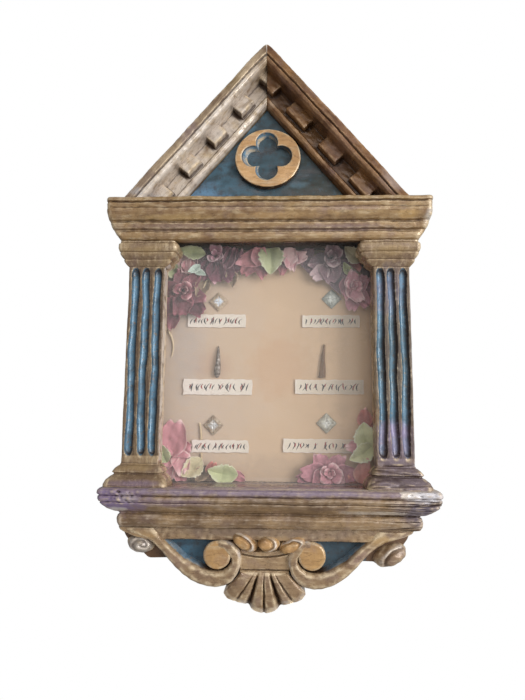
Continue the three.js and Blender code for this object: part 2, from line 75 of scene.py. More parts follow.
# %% [markdown]
# The camera stands close by, a little under the middle and tilted upwards, as it did for the
# photograph. It is a place and three perpendicular directions, which we work out from its turns.

# %% camera
CAMERA_PLACE = (0.01017, -0.40259, -0.04108)
PITCH = math.radians(7.720)
YAW = math.radians(-2.167)
ROLL = math.radians(0.530)
LENS_MM, SENSOR_MM = 27.05, 36.0

level_forward = np.array([math.sin(YAW), math.cos(YAW), 0.0])
forward = math.cos(PITCH) * level_forward + math.sin(PITCH) * np.array([0.0, 0.0, 1.0])
level_right = np.array([math.cos(YAW), -math.sin(YAW), 0.0])
level_up = np.cross(level_right, forward)
turned = np.eye(4)
turned[:3, 0] = math.cos(ROLL) * level_right + math.sin(ROLL) * level_up
turned[:3, 1] = -math.sin(ROLL) * level_right + math.cos(ROLL) * level_up
turned[:3, 2] = -forward
turned[:3, 3] = CAMERA_PLACE

camera_data = bpy.data.cameras.new("camera")
camera_data.lens = LENS_MM
camera_data.sensor_width = SENSOR_MM
camera = bpy.data.objects.new("camera", camera_data)
camera.matrix_world = Matrix(turned.tolist())
bpy.context.collection.objects.link(camera)
bpy.context.scene.camera = camera
print("camera looks along", forward.round(3))

# %% [markdown]
# A soft window light from the right does most of the modelling on old gilding: one cheek of every
# groove is bright and the other is dark. A weaker lamp from the front keeps the dark cheeks
# readable, and a pale surround fills in the rest.

# %% light
def lamp(name, place, aim, size, watts):
    """A square soft light at a place, turned to look at a point, both in metres."""
    data = bpy.data.lights.new(name, "AREA")
    data.size = size
    data.energy = watts
    made = bpy.data.objects.new(name, data)
    made.location = place
    made.rotation_euler = (Vector(aim) - Vector(place)).to_track_quat("-Z", "Y").to_euler()
    bpy.context.collection.objects.link(made)
    return made


OBJECT_MIDDLE = (0.0, -0.03, 0.03)
SURROUND_LIGHT = 0.34  # how bright the surround is as a light; to the eye it is 1
lamp("window_light", (0.92, -0.82, 0.14), OBJECT_MIDDLE, 0.75, 13.5)
lamp("front_fill", (0.1, -1.3, 0.35), OBJECT_MIDDLE, 0.9, 3.6)
surround = bpy.data.worlds.new("pale_surround")
surround.use_nodes = True
sky = surround.node_tree
seen = sky.nodes.new("ShaderNodeLightPath").outputs["Is Camera Ray"]
strength = sky.nodes.new("ShaderNodeMapRange")
strength.inputs["To Min"].default_value = SURROUND_LIGHT
sky.links.new(seen, strength.inputs["Value"])
sky.links.new(strength.outputs[0], sky.nodes["Background"].inputs["Strength"])
sky.nodes["Background"].inputs["Color"].default_value = (1.0, 1.0, 1.0, 1.0)
bpy.context.scene.world = surround
bpy.context.scene.view_settings.view_transform = "Standard"

# %% [markdown]
# Colours are easiest to note as the 0 to 255 numbers of a screen, but shaders want linear light.
# The formula undoes the screen's curve, so a noted colour comes out as it was seen.

# %% colour
def tint(red, green, blue):
    """Screen numbers to linear light: the power 2.4, or for small numbers a share of 1 in 12.92."""
    screen = np.array([red, green, blue]) / 255.0
    linear = np.where(screen <= 0.04045, screen / 12.92, ((screen + 0.055) / 1.055) ** 2.4)
    return (*linear.tolist(), 1.0)


print("a middle gold in linear light:", np.round(tint(150, 125, 95), 3))

# %% [markdown]
# Shaders are small networks. These helpers add a node and join it, read a soft mottle from the
# object's own coordinates, lay one colour over another, and stretch a value to run from 0 to 1.

# %% shader helpers
def put(tree, kind, inputs=None, **settings):
    """Adds one shader node, sets it up, and joins or fills its inputs."""
    made = tree.nodes.new("ShaderNode" + kind)
    for key, value in settings.items():
        setattr(made, key, value)
    for key, value in (inputs or {}).items():
        if isinstance(value, bpy.types.NodeSocket):
            tree.links.new(value, made.inputs[key])
        else:
            made.inputs[key].default_value = value
    return made


def own_place(tree):
    """The place of a point in the coordinates of its own object, in metres."""
    return put(tree, "TexCoord").outputs["Object"]


def mottle(tree, size, detail, stretch=(1.0, 1.0, 1.0), shift=0.0, slant=0.0):
    """A cloudy value around 0.5, in patches about size millimetres across; slant tips long ones."""
    moved = put(tree, "Mapping", {
        "Vector": own_place(tree), "Scale": [1.0 / share for share in stretch],
        "Rotation": (0.0, slant, 0.0), "Location": (shift, shift, shift),
    }, vector_type="TEXTURE").outputs[0]
    per_metre = 1.0 / (size * MM)
    return put(tree, "TexNoise", {0: moved, "Scale": per_metre, "Detail": detail}).outputs[0]


def over(tree, share, below, above):
    """One colour laid over another by a share from 0 to 1; noted colours become linear light."""
    below, above = (tint(*colour) if isinstance(colour, tuple) else colour
                    for colour in (below, above))
    return put(tree, "Mix", {0: share, 6: below, 7: above}, data_type="RGBA").outputs[2]


def span(tree, value, low, high, top=1.0):
    """0 below low, top above high, and an even slope between."""
    return put(tree, "MapRange", {0: value, 1: low, 2: high, 4: top}).outputs[0]


def reckon(tree, operation, *values):
    """One step of arithmetic on up to three values."""
    return put(tree, "Math", dict(enumerate(values)), operation=operation).outputs[0]


def laid(tree, colour, dye, value, low, high, top=1.0):
    """A dye laid over a colour where a value has gone from low to high, at most by its top."""
    return over(tree, span(tree, value, low, high, top), colour, dye)


def times(tree, first, second):
    """One value taken as a share of another: their product."""
    return reckon(tree, "MULTIPLY", first, second)


def own_x(tree):
    """How far a point lies to the right, in metres."""
    return put(tree, "SeparateXYZ", {0: own_place(tree)}).outputs["X"]


def felt(tree, name):
    """A number that was stored on the points of the mesh."""
    return put(tree, "Attribute", attribute_name=name).outputs["Fac"]


def new_finish(name):
    """An empty material, its network and the shader at the end of the network."""
    material = bpy.data.materials.new(name)
    material.use_nodes = True
    return material, material.node_tree, material.node_tree.nodes["Principled BSDF"]


def dimple(tree, skin, height, depth, strength):
    """Lets a value push the surface in and out by that many millimetres, for the light only."""
    made = put(tree, "Bump", {"Height": height, "Distance": depth * MM, "Strength": strength})
    tree.links.new(made.outputs[0], skin.inputs["Normal"])


print("shader helpers ready")

# %% [markdown]
# The floor is only a pale ground far below, because the case hangs on a wall. The lamps hardly
# reach it, so like the surround it is brighter to the eye than it is as a light.

# %% floor
FLOOR_LEVEL = -1.5
FLOOR_HALF = 1.3
FLOOR_GLOW = 0.6  # what the eye sees beyond the light that falls on it
floor_mesh = bpy.data.meshes.new("pale_floor")
floor_corners = FLOOR_HALF * np.array([[-1, -1], [1, -1], [1, 1], [-1, 1]])
floor_mesh.from_pydata([(x, y, FLOOR_LEVEL) for x, y in floor_corners.tolist()], [], [(0, 1, 2, 3)])
floor = bpy.data.objects.new("pale_floor", floor_mesh)
bpy.context.collection.objects.link(floor)
floor_finish, tree, skin = new_finish("pale_ground")
skin.inputs["Base Color"].default_value = tint(238, 236, 232)
skin.inputs["Roughness"].default_value = 0.9
skin.inputs["Emission Color"].default_value = tint(250, 249, 246)
looked_at = put(tree, "LightPath").outputs["Is Camera Ray"]
glow = put(tree, "MapRange", {"Value": looked_at, "To Max": FLOOR_GLOW}).outputs[0]
tree.links.new(glow, skin.inputs["Emission Strength"])
floor_mesh.materials.append(floor_finish)
floor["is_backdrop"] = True
print("floor", FLOOR_LEVEL, "m down")

# %% [markdown]
# Every carved piece below is a grid of points. Squares join neighbours in the grid, and a ring of
# points can be shut with one flat cap. Once a mesh exists we feel its relief: how far each point
# stands out from the average of the points round it. Hands rub what stands out, and where it stands
# in the colour is darkened, partly as settled dust and partly as painted shade.

# %% from grids to pieces
SHARP_TURN = math.radians(48)
# Full dirt below means dirt and painted shade together: where the relief sinks, the colour darkens as
# both.
RELIEF_SCALE = 0.3  # millimetres of relief that count as full wear or full dirt
SAME_PLACE = 1e-6  # metres between points that are made one


def squares(rows, columns, around=False, closed_rows=False):
    """Corner numbers of the squares in a grid; around joins the last column to the first."""
    wide = columns if around else columns - 1
    tall = rows if closed_rows else rows - 1
    row, column = np.meshgrid(np.arange(tall), np.arange(wide), indexing="ij")
    below = (row + 1) % rows
    beside = (column + 1) % columns
    here, under = row * columns, below * columns
    corners = [here + column, here + beside, under + beside, under + column]
    return np.stack(corners, axis=-1).reshape(-1, 4)


def repeated(rows, columns, count, around=False):
    """Corner numbers of the squares in that many equal grids, one after the other."""
    firsts = rows * columns * np.arange(count)
    return (squares(rows, columns, around)[None] + firsts[:, None, None]).reshape(-1, 4)


def both_ends(rows, columns):
    """Corner numbers of the first and the last ring of points."""
    return [np.arange(columns), np.arange(columns) + (rows - 1) * columns]


def relief_of(mesh, rounds):
    """Points averaged with their neighbours; the relief is what that lost along the normal."""
    count = len(mesh.vertices)
    points = np.empty(count * 3)
    normals = np.empty(count * 3)
    ends = np.empty(len(mesh.edges) * 2, dtype=np.int32)
    mesh.vertices.foreach_get("co", points)
    mesh.vertices.foreach_get("normal", normals)
    mesh.edges.foreach_get("vertices", ends)
    points = points.reshape(-1, 3) / MM
    one, other = ends.reshape(-1, 2).T
    neighbours = np.bincount(one, minlength=count) + np.bincount(other, minlength=count)
    soft = points.copy()
    for _ in range(rounds):
        sums = [np.bincount(one, column[other], count) + np.bincount(other, column[one], count)
                for column in soft.T]
        soft = np.stack(sums, axis=1) / np.maximum(neighbours, 1)[:, None]
    lost = ((points - soft) * normals.reshape(-1, 3)).sum(axis=1)
    return np.clip(lost / RELIEF_SCALE, -1.0, 1.0)


def stored(mesh, name, values):
    """Stores one number for each point of a mesh."""
    kept = mesh.attributes.new(name, "FLOAT", "POINT")
    kept.data.foreach_set("value", np.asarray(values, dtype=np.float32).ravel())


def piece(name, points, faces, finishes, slot, stands_for=(), caps=(), values=None, rounds=6,
          finish_of=None):
    """One object on the case, from points in millimetres and the corner numbers of its faces."""
    corners = np.concatenate([faces.ravel(), *caps]).astype(np.int32)
    counts = np.concatenate([np.full(len(faces), faces.shape[1]), [len(cap) for cap in caps]])
    counts = counts.astype(np.int32)
    mesh = bpy.data.meshes.new(name)
    mesh.vertices.add(len(points))
    mesh.vertices.foreach_set("co", (points * MM).ravel())
    mesh.loops.add(len(corners))
    mesh.loops.foreach_set("vertex_index", corners)
    mesh.polygons.add(len(counts))
    mesh.polygons.foreach_set("loop_start", (np.cumsum(counts) - counts).astype(np.int32))
    mesh.update(calc_edges=True)
    for label, value in (values or {}).items():
        stored(mesh, label, value)
    for finish in finishes:
        mesh.materials.append(finish)
    if finish_of is not None:
        mesh.polygons.foreach_set("material_index", np.asarray(finish_of, dtype=np.int32))
    merged = bmesh.new()
    merged.from_mesh(mesh)
    bmesh.ops.remove_doubles(merged, verts=merged.verts, dist=SAME_PLACE)
    bmesh.ops.recalc_face_normals(merged, faces=merged.faces)
    merged.to_mesh(mesh)
    merged.free()
    mesh.shade_smooth()
    mesh.set_sharp_from_angle(angle=SHARP_TURN)
    stored(mesh, "relief", relief_of(mesh, rounds))
    made = bpy.data.objects.new(name, mesh)
    bpy.context.collection.objects.link(made)
    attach(made, "root")
    if stands_for:
        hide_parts(*stands_for)
    print(name, len(mesh.vertices), "points,", len(mesh.polygons), "faces")
    return made


def tube(name, points, shape, finish, slot="gilded_wood", stands_for=(), **more):
    """A piece made of rings of points, with the first and the last ring shut."""
    faces = squares(*shape, around=True)
    return piece(name, points, faces, [finish], slot, stands_for, caps=both_ends(*shape), **more)


print("a 3 by 4 grid has", len(squares(3, 4)), "squares")

# %% [markdown]
# Hand work is never dead straight. A few slow sine waves in random directions, always from the same
# seed, push the points about by a fraction of a millimetre. A moulding's broken profile line is
# walked in equal steps and each step is averaged with its neighbours, so that its arrises turn on a
# small worn radius.

# %% hand work
def waves(points, size, seed):
    """Sum of eight sine waves along their own directions, about -1 to 1; size is a usual length."""
    dice = np.random.default_rng(seed)
    ways = dice.normal(size=(8, 3))
    ways /= np.linalg.norm(ways, axis=1, keepdims=True)
    ways *= (2 * np.pi / size) * dice.uniform(0.6, 1.5, (8, 1))
    return np.sin(points @ ways.T + dice.uniform(0, 2 * np.pi, 8)).sum(axis=1) / 3.2


def by_hand(points, seed, slow=0.22, quick=0.09):
    """Moves each point three ways by slow waves 34 mm long and quick ones 6 mm long."""
    shifts = [slow * waves(points, 34, seed + k) + quick * waves(points, 6, seed + 3 + k)
              for k in range(3)]
    return points + np.stack(shifts, axis=1)


def eased(line, step, soft):
    """A broken line at equal steps, each point averaged with those up to soft millimetres away."""
    line = np.asarray(line, dtype=float)
    run = np.concatenate([[0.0], np.cumsum(np.linalg.norm(np.diff(line, axis=0), axis=1))])
    walk = np.linspace(0, run[-1], max(3, math.ceil(run[-1] / step) + 1))
    fine = np.stack([np.interp(walk, run, column) for column in line.T], axis=1)
    reach = max(1, round(soft / step))
    weights = np.hanning(2 * reach + 3)[1:-1]
    before = 2 * fine[0] - fine[reach:0:-1]
    after = 2 * fine[-1] - fine[-2:-reach - 2:-1]
    longer = np.concatenate([before, fine, after])
    kept = [np.convolve(column, weights / weights.sum(), "valid") for column in longer.T]
    return np.stack(kept, axis=1)


print("an eased square corner:", eased([[0, 0], [2, 0], [2, 2]], 1, 1).round(2).tolist())

# %% [markdown]
# The gilding is thin bronze leaf over a brown ground. It has gone dull and blotchy, with violet and
# grey stains, it is rubbed to a pale chalky colour on the arrises, and it is nearly black in the
# grooves, partly from dirt and partly as painted shade. So the colour starts as a mottle of two golds
# and takes stains in chosen places. Stored values then say where there is blue paint, where it is
# pale, from chalk or as painted light, and where it is dark, from soot or as painted shade, and last
# it reads the relief.

# %% gilding
RUBBED = (214, 192, 158)
CHALK_AND_LIGHT = (212, 200, 188)
GRIME_AND_SHADE = (52, 32, 18)
VIOLET = (122, 102, 108)
BLUE_PAINT = (94, 134, 160)
SLATE_PAINT = (58, 82, 98)
GESSO = (226, 220, 210)


def stain(tree, x, z, wide, tall, seed):
    """1 at a point of the front in millimetres, 0 outside an oval, with a ragged edge."""
    per_half = (1 / (wide * MM), 0.0, 1 / (tall * MM))
    middle = (x / wide, 0.0, z / tall)
    squeezed = put(tree, "VectorMath", {0: own_place(tree), 1: per_half}, operation="MULTIPLY")
    away = put(tree, "VectorMath", {0: squeezed.outputs[0], 1: middle}, operation="DISTANCE")
    ragged = reckon(tree, "ADD", away.outputs["Value"], mottle(tree, 7, 5.0, shift=seed))
    return span(tree, ragged, 1.35, 0.85)


def stained(tree, colour, stains, seed):
    """Each stain is x, z, half width, half height, colour and strength, laid on in turn."""
    for number, (x, z, wide, tall, dye, strength) in enumerate(stains):
        share = times(tree, stain(tree, x, z, wide, tall, seed + number), strength)
        colour = over(tree, share, colour, dye)
    return colour


def gilding(name, gold, bronze, stains=(), rubbed=RUBBED, streaks=(0.22, 1.0, 1.0), slant=0.0,
            late_stains=()):
    """A gilded finish; late stains also cover the paint, and hair cracks run as the streaks do."""
    material, tree, skin = new_finish(name)
    patch = mottle(tree, 17, 6.0)
    fleck = mottle(tree, 1.9, 5.0, shift=2.0)
    grit = mottle(tree, 0.9, 4.0, shift=6.0)
    streak = mottle(tree, 2.6, 4.0, stretch=streaks, shift=5.0, slant=slant)
    colour = laid(tree, gold, bronze, patch, 0.36, 0.66)
    bloom = mottle(tree, 11, 5.0, shift=9.0)
    colour = laid(tree, colour, VIOLET, bloom, 0.52, 0.74, 0.4)
    colour = laid(tree, colour, rubbed, streak, 0.54, 0.7, 0.45)
    colour = laid(tree, colour, bronze, streak, 0.46, 0.3, 0.6)
    colour = stained(tree, colour, stains, 11.0)
    faded = span(tree, mottle(tree, 9, 5.0, shift=4.0), 0.46, 0.68, 0.8)
    paint = over(tree, faded, BLUE_PAINT, SLATE_PAINT)
    painted = times(tree, felt(tree, "paint"), span(tree, fleck, 0.26, 0.42))
    colour = over(tree, painted, colour, paint)
    # The pale value lays a chalky colour on: on rubbed places it is chalky wear, on faces turned to
    # the window it is painted light.
    chalk_and_light_share = times(tree, felt(tree, "pale"), span(tree, mottle(tree, 6, 5.0, shift=3.0), 0.3, 0.52))
    colour = over(tree, chalk_and_light_share, colour, CHALK_AND_LIGHT)
    colour = stained(tree, colour, late_stains, 51.0)
    relief = felt(tree, "relief")
    handled = span(tree, mottle(tree, 5, 5.0, shift=7.0), 0.38, 0.6, 0.85)
    colour = over(tree, times(tree, span(tree, relief, 0.1, 0.62), handled), colour, rubbed)
    # Where the relief sinks into a groove the colour goes towards dark brown: partly dirt, partly
    # painted shade.
    colour = laid(tree, colour, GRIME_AND_SHADE, relief, -0.06, -0.7, 0.86)
    # The stored soot value darkens towards dark brown: in cracks it is dirt, in gaps, grooves and
    # shaded cheeks it is painted shade.
    soot_and_shade_share = times(tree, felt(tree, "soot_and_shade"), span(tree, mottle(tree, 4, 5.0, shift=8.0), 0.2, 0.42))
    colour = over(tree, soot_and_shade_share, colour, GRIME_AND_SHADE)
    near_half = reckon(tree, "PINGPONG", mottle(tree, 4.2, 3.0, streaks, 1.0, slant), 0.5)
    colour = laid(tree, colour, GRIME_AND_SHADE, near_half, 0.482, 0.498, 0.32)
    colour = laid(tree, colour, rubbed, grit, 0.6, 0.74, 0.22)
    colour = laid(tree, colour, GRIME_AND_SHADE, grit, 0.4, 0.28, 0.28)
    tree.links.new(colour, skin.inputs["Base Color"])
    skin.inputs["Metallic"].default_value = 0.12
    tree.links.new(span(tree, patch, 0.2, 0.9, 0.75), skin.inputs["Roughness"])
    dimple(tree, skin, reckon(tree, "ADD", streak, fleck), 0.32, 0.6)
    return material


OLD_GOLD = (172, 142, 102)
BROWN_BRONZE = (128, 98, 68)
print("a stain and a gilding can now be mixed, for example from", np.round(tint(*OLD_GOLD), 2))

# %% [markdown]
# The entablature is one moulded plank. A joiner would run its profile with a plane and turn it
# round the two ends. Here each level of the profile is a ring in plan: back along one side, round a
# corner, along the front, round the other corner and home. Under the ceiling the ring steps round
# the hollow of the room.

# %% entablature
FACE_DEPTH = 46.0  # front of the pilaster shafts
CASE_BACK = 8.3
ROOM_HALF = 78.3
ROOM_CEILING = 89.0


def rings(z, left, right, back, front, corner, steps):
    """Level after level, x and depth of a plan with two rounded front corners.
    Steps counts the points along the front, along one side and round one corner."""
    levels = np.broadcast_arrays(z, left, right, back, front, corner)[1:]
    left, right, back, front, corner = (level[:, None].astype(float) for level in levels)
    along, beside, turn = (np.linspace(0, 1, n, endpoint=False) for n in steps)
    rise, reach = np.sin(turn * np.pi / 2), np.cos(turn * np.pi / 2)
    shoulder = front - corner
    straight = right - left - 2 * corner
    x = [left + 0 * beside, left + corner * (1 - reach), left + corner + along * straight,
         right - corner * (1 - rise), right + 0 * beside, right]
    depth = [back + beside * (shoulder - back), front - corner * (1 - rise), front + 0 * along,
             front - corner * (1 - reach), shoulder + beside * (back - shoulder), back]
    return np.hstack(x), np.hstack(depth)


CORNICE_FOOT = 83.5
CORNICE_HALF = 95.5
ARRIS = (0.34, 0.3)  # step along a profile, and how far its arrises are eased
PLANK_STEPS = (270, 12, 6)
cornice_line = np.array([  # height over the foot, and how far out of the shafts' front
    [0, 5.2], [0.9, 7.0], [2.4, 7.8], [4.9, 8.2], [5.5, 7.2], [6.9, 7.4], [7.5, 9.4], [11.0, 10.4],
    [11.6, 9.4], [12.7, 9.6], [13.3, 11.5], [15.6, 13.6], [18.0, 14.8], [19.8, 15.1], [20.5, 14.5],
    [21.6, 15.2], [23.6, 15.8], [24.2, 14.4], [24.9, 14.4], [25.4, 16], [27.2, 16], [28.0, 15],
])
rise, out = eased(cornice_line, *ARRIS).T
end = 16 - 8.5 * np.clip(1 - rise / 19, 0, 1) ** 2
z = CORNICE_FOOT + rise
left, right = -CORNICE_HALF - end, CORNICE_HALF + end
x, depth = rings(z, left, right, CASE_BACK, FACE_DEPTH + out, 3.2, PLANK_STEPS)
inner = np.where(z < ROOM_CEILING, FACE_DEPTH, CASE_BACK)[:, None]
x = np.hstack([x, np.tile([ROOM_HALF, ROOM_HALF, -ROOM_HALF, -ROOM_HALF], (len(z), 1))])
depth = np.hstack([depth, 0 * inner + CASE_BACK, inner, inner, 0 * inner + CASE_BACK])
points = by_hand(placed(x, depth, z[:, None]), 21)

cornice_gilding = gilding("cornice_gilding", OLD_GOLD, BROWN_BRONZE, stains=[
    (95, 99, 12, 4, (196, 160, 104), 0.6),
    (112, 97, 7, 16, GESSO, 0.55),
    (-60, 92, 60, 4, VIOLET, 0.45),
    (45, 91, 60, 4, VIOLET, 0.55),
    (0, 110, 130, 3, (150, 122, 72), 0.6),
    (-62, 97.5, 34, 2.6, (190, 158, 108), 0.6),
    (6, 98.5, 44, 2.4, (188, 152, 106), 0.6),
    (52, 103, 40, 2.6, (146, 120, 108), 0.6),
    (-30, 103.5, 44, 2.2, (148, 122, 106), 0.5),
])
tube("gilded_entablature", points, x.shape, cornice_gilding, stands_for=["entablature"])

# %% [markdown]
# The sill is made the same way from its own profile. Violet has crept along its whole upper edge
# and over both ends. The right end has lost its gilding down to the white ground and the grey wood,
# and a flaky lump sits near the left end. The lost flakes are sunk a little and the lump is raised,
# so that the light finds them.

# %% sill
def splits(points, seed):
    """Drying cracks along the grain: lines where a wave, drawn out eleven times in x, is nought."""
    return np.exp(-(waves(points * [0.09, 0.4, 1], 5, seed) / 0.22) ** 2)


SILL_MIDDLE = 1.6
SILL_HALF = 93.7
sill_line = np.array([  # height, how far out at the front, and how far out at the ends
    [-110, 4.4, 3.0], [-109.3, 6.2, 4.2], [-106.8, 8.0, 5.0], [-104.0, 8.4, 5.2],
    [-102.0, 7.4, 4.8], [-101.2, 5.8, 4.0], [-100.2, 6.0, 5.0], [-99.6, 8.2, 7.4],
    [-97.6, 11.0, 11.0], [-95.4, 13.4, 13.6], [-94.0, 14.4, 14.8], [-93.3, 13.6, 14.6],
    [-92.7, 15.0, 15.4], [-91.2, 15.8, 16.0], [-89.8, 15.3, 16.0], [-89.1, 14.2, 15.4],
    [-88.5, 15.6, 16.0], [-87.6, 16.4, 16.6], [-85.6, 16.3, 16.3], [-84.5, 15.2, 15.2],
])
z, out, end = eased(sill_line, *ARRIS).T
left, right = SILL_MIDDLE - SILL_HALF - end, SILL_MIDDLE + SILL_HALF + end
x, depth = rings(z, left, right, CASE_BACK, FACE_DEPTH + out, 3.0, PLANK_STEPS)
z = z[:, None] + 0 * x
points = by_hand(placed(x, depth, z), 31)
near_front = points[:, 1] < -40


def patch_at(x, z, half_wide, half_tall):
    """1 about a place on the front of the sill and 0 away from it: a bell of the fourth power."""
    away = ((points[:, 0] - x) / half_wide) ** 4 + ((points[:, 2] - z) / half_tall) ** 4
    return np.exp(-away) * near_front


flaked = patch_at(99, -87.5, 12, 2.6)
lump = patch_at(-90, -89.5, 10, 4.5)
weathered = np.clip((points[:, 0] - 88) / 12, 0, 1) * near_front
sunk = 0.6 * flaked * (1 + 0.3 * waves(points, 5, 3))
raised = 0.5 * lump * (1 + 1.1 * waves(points, 3.4, 4))
points[:, 1] += sunk - raised
points[:, 1] += 0.4 * weathered * (1 + waves(points * [0.25, 1, 1], 2.4, 5))
under_lip = (points[:, 2] < -88.6) * near_front
split = splits(points, 9) * np.clip((points[:, 0] - 62) / 30, 0, 1) * under_lip
points[:, 1] += 0.7 * split
bared = patch_at(101, -87, 16, 3.4)
torn = np.clip(5 * (bared + 0.35 * waves(points * [0.4, 1, 1], 4, 8) - 0.4), 0, 1)
bared = 1.4 * torn * (bared > 0.05)

sill_gilding = gilding("sill_gilding", (166, 138, 104), (116, 92, 68), stains=[
    (0, -85.4, 170, 5.4, (140, 124, 142), 0.85),
    (-100, -92, 36, 14, (132, 114, 146), 0.95),
    (-60, -93, 36, 4.0, (128, 108, 124), 0.7),
    (106, -95, 34, 18, (122, 112, 122), 0.9),
    (-88, -90, 9, 5.5, (176, 164, 172), 0.7),
    (72, -98.5, 30, 2.4, GESSO, 0.6),
    (-94, -98, 9, 2.2, GESSO, 0.6),
], rubbed=(198, 179, 158), late_stains=[
    (106, -95, 34, 12, (112, 102, 114), 0.8),
    (102, -87.0, 22, 5.6, (222, 219, 224), 0.85),
])
tube("gilded_sill", points, x.shape, sill_gilding, stands_for=["sill"],
     values={"pale": bared, "soot_and_shade": 0.9 * split})

# %% [markdown]
# A pilaster is carved from one block: a stepped base, a shaft and a stepped capital. A gouge cuts
# three flutes with round ends, so the depth of a cut is the height of a half circle over its
# distance from the flute's middle line. Blue paint was brushed into the flutes. Their right-hand
# sides and the fillets beside them are darkened as painted shade, and the right base's cracks are
# darkened as cracks. The return of the left shaft beside the pane is made paler.

# %% pilasters
SHAFT_INNER, SHAFT_OUTER = 72.8, 98.0
PILASTER_BACK = 34.0
CAPITAL_FOOT = 66.0
FLUTE_PITCH, FLUTE_RADIUS = 7.9, 2.75
FLUTE_TOP, FLUTE_BOTTOM = 65.2, -65.0
FLUTE_MIDDLE, FLUTE_HALF = (FLUTE_TOP + FLUTE_BOTTOM) / 2, (FLUTE_TOP - FLUTE_BOTTOM) / 2
END_STRETCH = 1.8  # how much longer than round the end of a flute is
base_line = [  # height, and how far out of the shaft
    [-84.2, 9.6], [-82.6, 9.6], [-79.6, 8.0], [-77.4, 5.4], [-76.7, 3.8], [-75.9, 3.8],
    [-75.2, 5.0], [-72.8, 3.4], [-71.4, 1.8], [-70.9, 0.5], [-70.3, 0.5], [-69.7, 0],
]
capital_line = np.array([
    [0, 0], [0.8, 1.0], [2.6, 2.6], [4.2, 3.4], [4.7, 2.7], [5.4, 3.5], [7.0, 5.0], [8.8, 5.9],
    [9.3, 5.1], [10.2, 6.3], [12, 6.9], [15.2, 6.8], [15.8, 5.7], [17.2, 5.7],
]) + [CAPITAL_FOOT, 0]
shaft_line = np.array([[-69.2, 0.0], [65.6, 0.0]])
carved_lines = [(base_line, 0.36), (shaft_line, 0.8), (capital_line, 0.36)]
profile = [eased(line, step, step) for line, step in carved_lines]
pilaster_z, pilaster_out = np.concatenate(profile).T
spread = np.where(pilaster_z < 0, 0.8, 1.5)


def pilaster(name, side, node, stains, late_stains, pale_return, erosion):
    """Rings up the block, then every front point sinks by the half circle of the nearest flute."""
    outer = SHAFT_OUTER + pilaster_out
    inner = SHAFT_INNER - pilaster_out * spread
    left, right = (inner, outer) if side > 0 else (-outer, -inner)
    corner = 0.9 + 0.3 * pilaster_out
    front = FACE_DEPTH + pilaster_out
    x, depth = rings(pilaster_z, left, right, PILASTER_BACK, front, corner, (96, 8, 5))
    z = pilaster_z[:, None] + 0 * x
    middle = side * (SHAFT_INNER + SHAFT_OUTER) / 2
    number = np.clip(np.round((x - middle) / FLUTE_PITCH), -1, 1)
    drift = 0.35 * np.sin(z / 13 + 2 * number) + 0.2 * np.sin(z / 5 + 3 * number)
    aside = x - (middle + number * FLUTE_PITCH + drift)
    straight_half = FLUTE_HALF - END_STRETCH * FLUTE_RADIUS
    past_end = np.clip(np.abs(z - FLUTE_MIDDLE) - straight_half, 0, None) / END_STRETCH
    radius = FLUTE_RADIUS * (1 + 0.07 * np.sin(z / 9 + 5 * number))
    gouge = np.sqrt(np.clip(radius ** 2 - aside ** 2 - past_end ** 2, 0, None))
    on_front = depth > FACE_DEPTH - 0.5
    gouge *= on_front
    points = by_hand(placed(x, depth - gouge, z), 40 + side, 0.16, 0.06)
    worn_base = np.clip((-66 - points[:, 2]) / 4, 0, 1) * (points[:, 1] < -40)
    split = splits(points, 48) * worn_base * (erosion > 0)
    points[:, 1] += erosion * worn_base * (1 + waves(points * [0.3, 1, 1], 3.4, 47)) + 0.45 * split
    # Painted shade: the right cheek of each flute, which faces away from the window light, and the
    # fillets, most to the right of each flute, are darkened; the flute edges are darkened a little;
    # the cracks at the foot are darkened as cracks.
    right_cheek_shade = 0.97 * np.clip(1.7 * aside / FLUTE_RADIUS - 0.3, 0, 1) * (gouge > 0.15)
    arris = np.exp(-((np.abs(aside) - FLUTE_RADIUS - 0.25) / 0.35) ** 2) * (gouge > 0)
    fillet = np.where(aside > 0, 0.72, 0.42) * ((gouge == 0) & (np.abs(z) < 65) & on_front)
    foot = (0.5 * split + 0.1 * worn_base * (erosion > 0)).reshape(x.shape)
    shade_and_cracks = np.maximum.reduce([right_cheek_shade, 0.55 * arris, fillet, foot])
    on_return = (x > -74.5) & (depth < FACE_DEPTH - 0.6) & (np.abs(z) < 68)
    finish = gilding(name + "_gilding", (160, 136, 104), (122, 98, 76), stains,
                     streaks=(1.0, 1.0, 0.2), late_stains=late_stains)
    painted = np.clip(gouge / 0.6, 0, 1)
    return tube(name, points, x.shape, finish, stands_for=[node], rounds=4,
                values={"paint": painted, "soot_and_shade": shade_and_cracks, "pale": pale_return * on_return})


pilaster("left_gilded_pilaster", -1, "left_pilaster", [
    (-86, -82, 24, 3.5, (130, 110, 124), 0.8),
    (-86, -72, 20, 4, (170, 142, 100), 0.6),
    (-86, 76, 20, 5, (176, 148, 104), 0.5),
], late_stains=[], pale_return=1.0, erosion=0.0)
pilaster("right_gilded_pilaster", 1, "right_pilaster", [
    (90, -79, 30, 15, (128, 112, 118), 0.95),
    (86, 76, 20, 5, (172, 144, 100), 0.5),
], late_stains=[
    (86, -54, 22, 20, (146, 132, 160), 0.7),
    (86, 0, 24, 60, (70, 92, 98), 0.45),
    (84, 48, 16, 24, (130, 134, 164), 0.5),
    (86, -46, 18, 8, (160, 146, 180), 0.6),
    (86, -68, 24, 8, (126, 112, 120), 0.85),
    (90, -80, 36, 12, (124, 110, 116), 0.6),
], pale_return=0.0, erosion=0.28)

# %% [markdown]
# Each rafter of the gable is a moulding with a deep channel, and small blocks were left standing in
# the channel. We carry the section along the slope on lines that are closest together at the ends
# of the blocks, and lift the floor of the channel where a block stands. The foot is clipped by the
# top of the cornice and the tip by the mitre. The tip itself is rubbed to a blunt nose, because it
# is the first thing to be knocked.

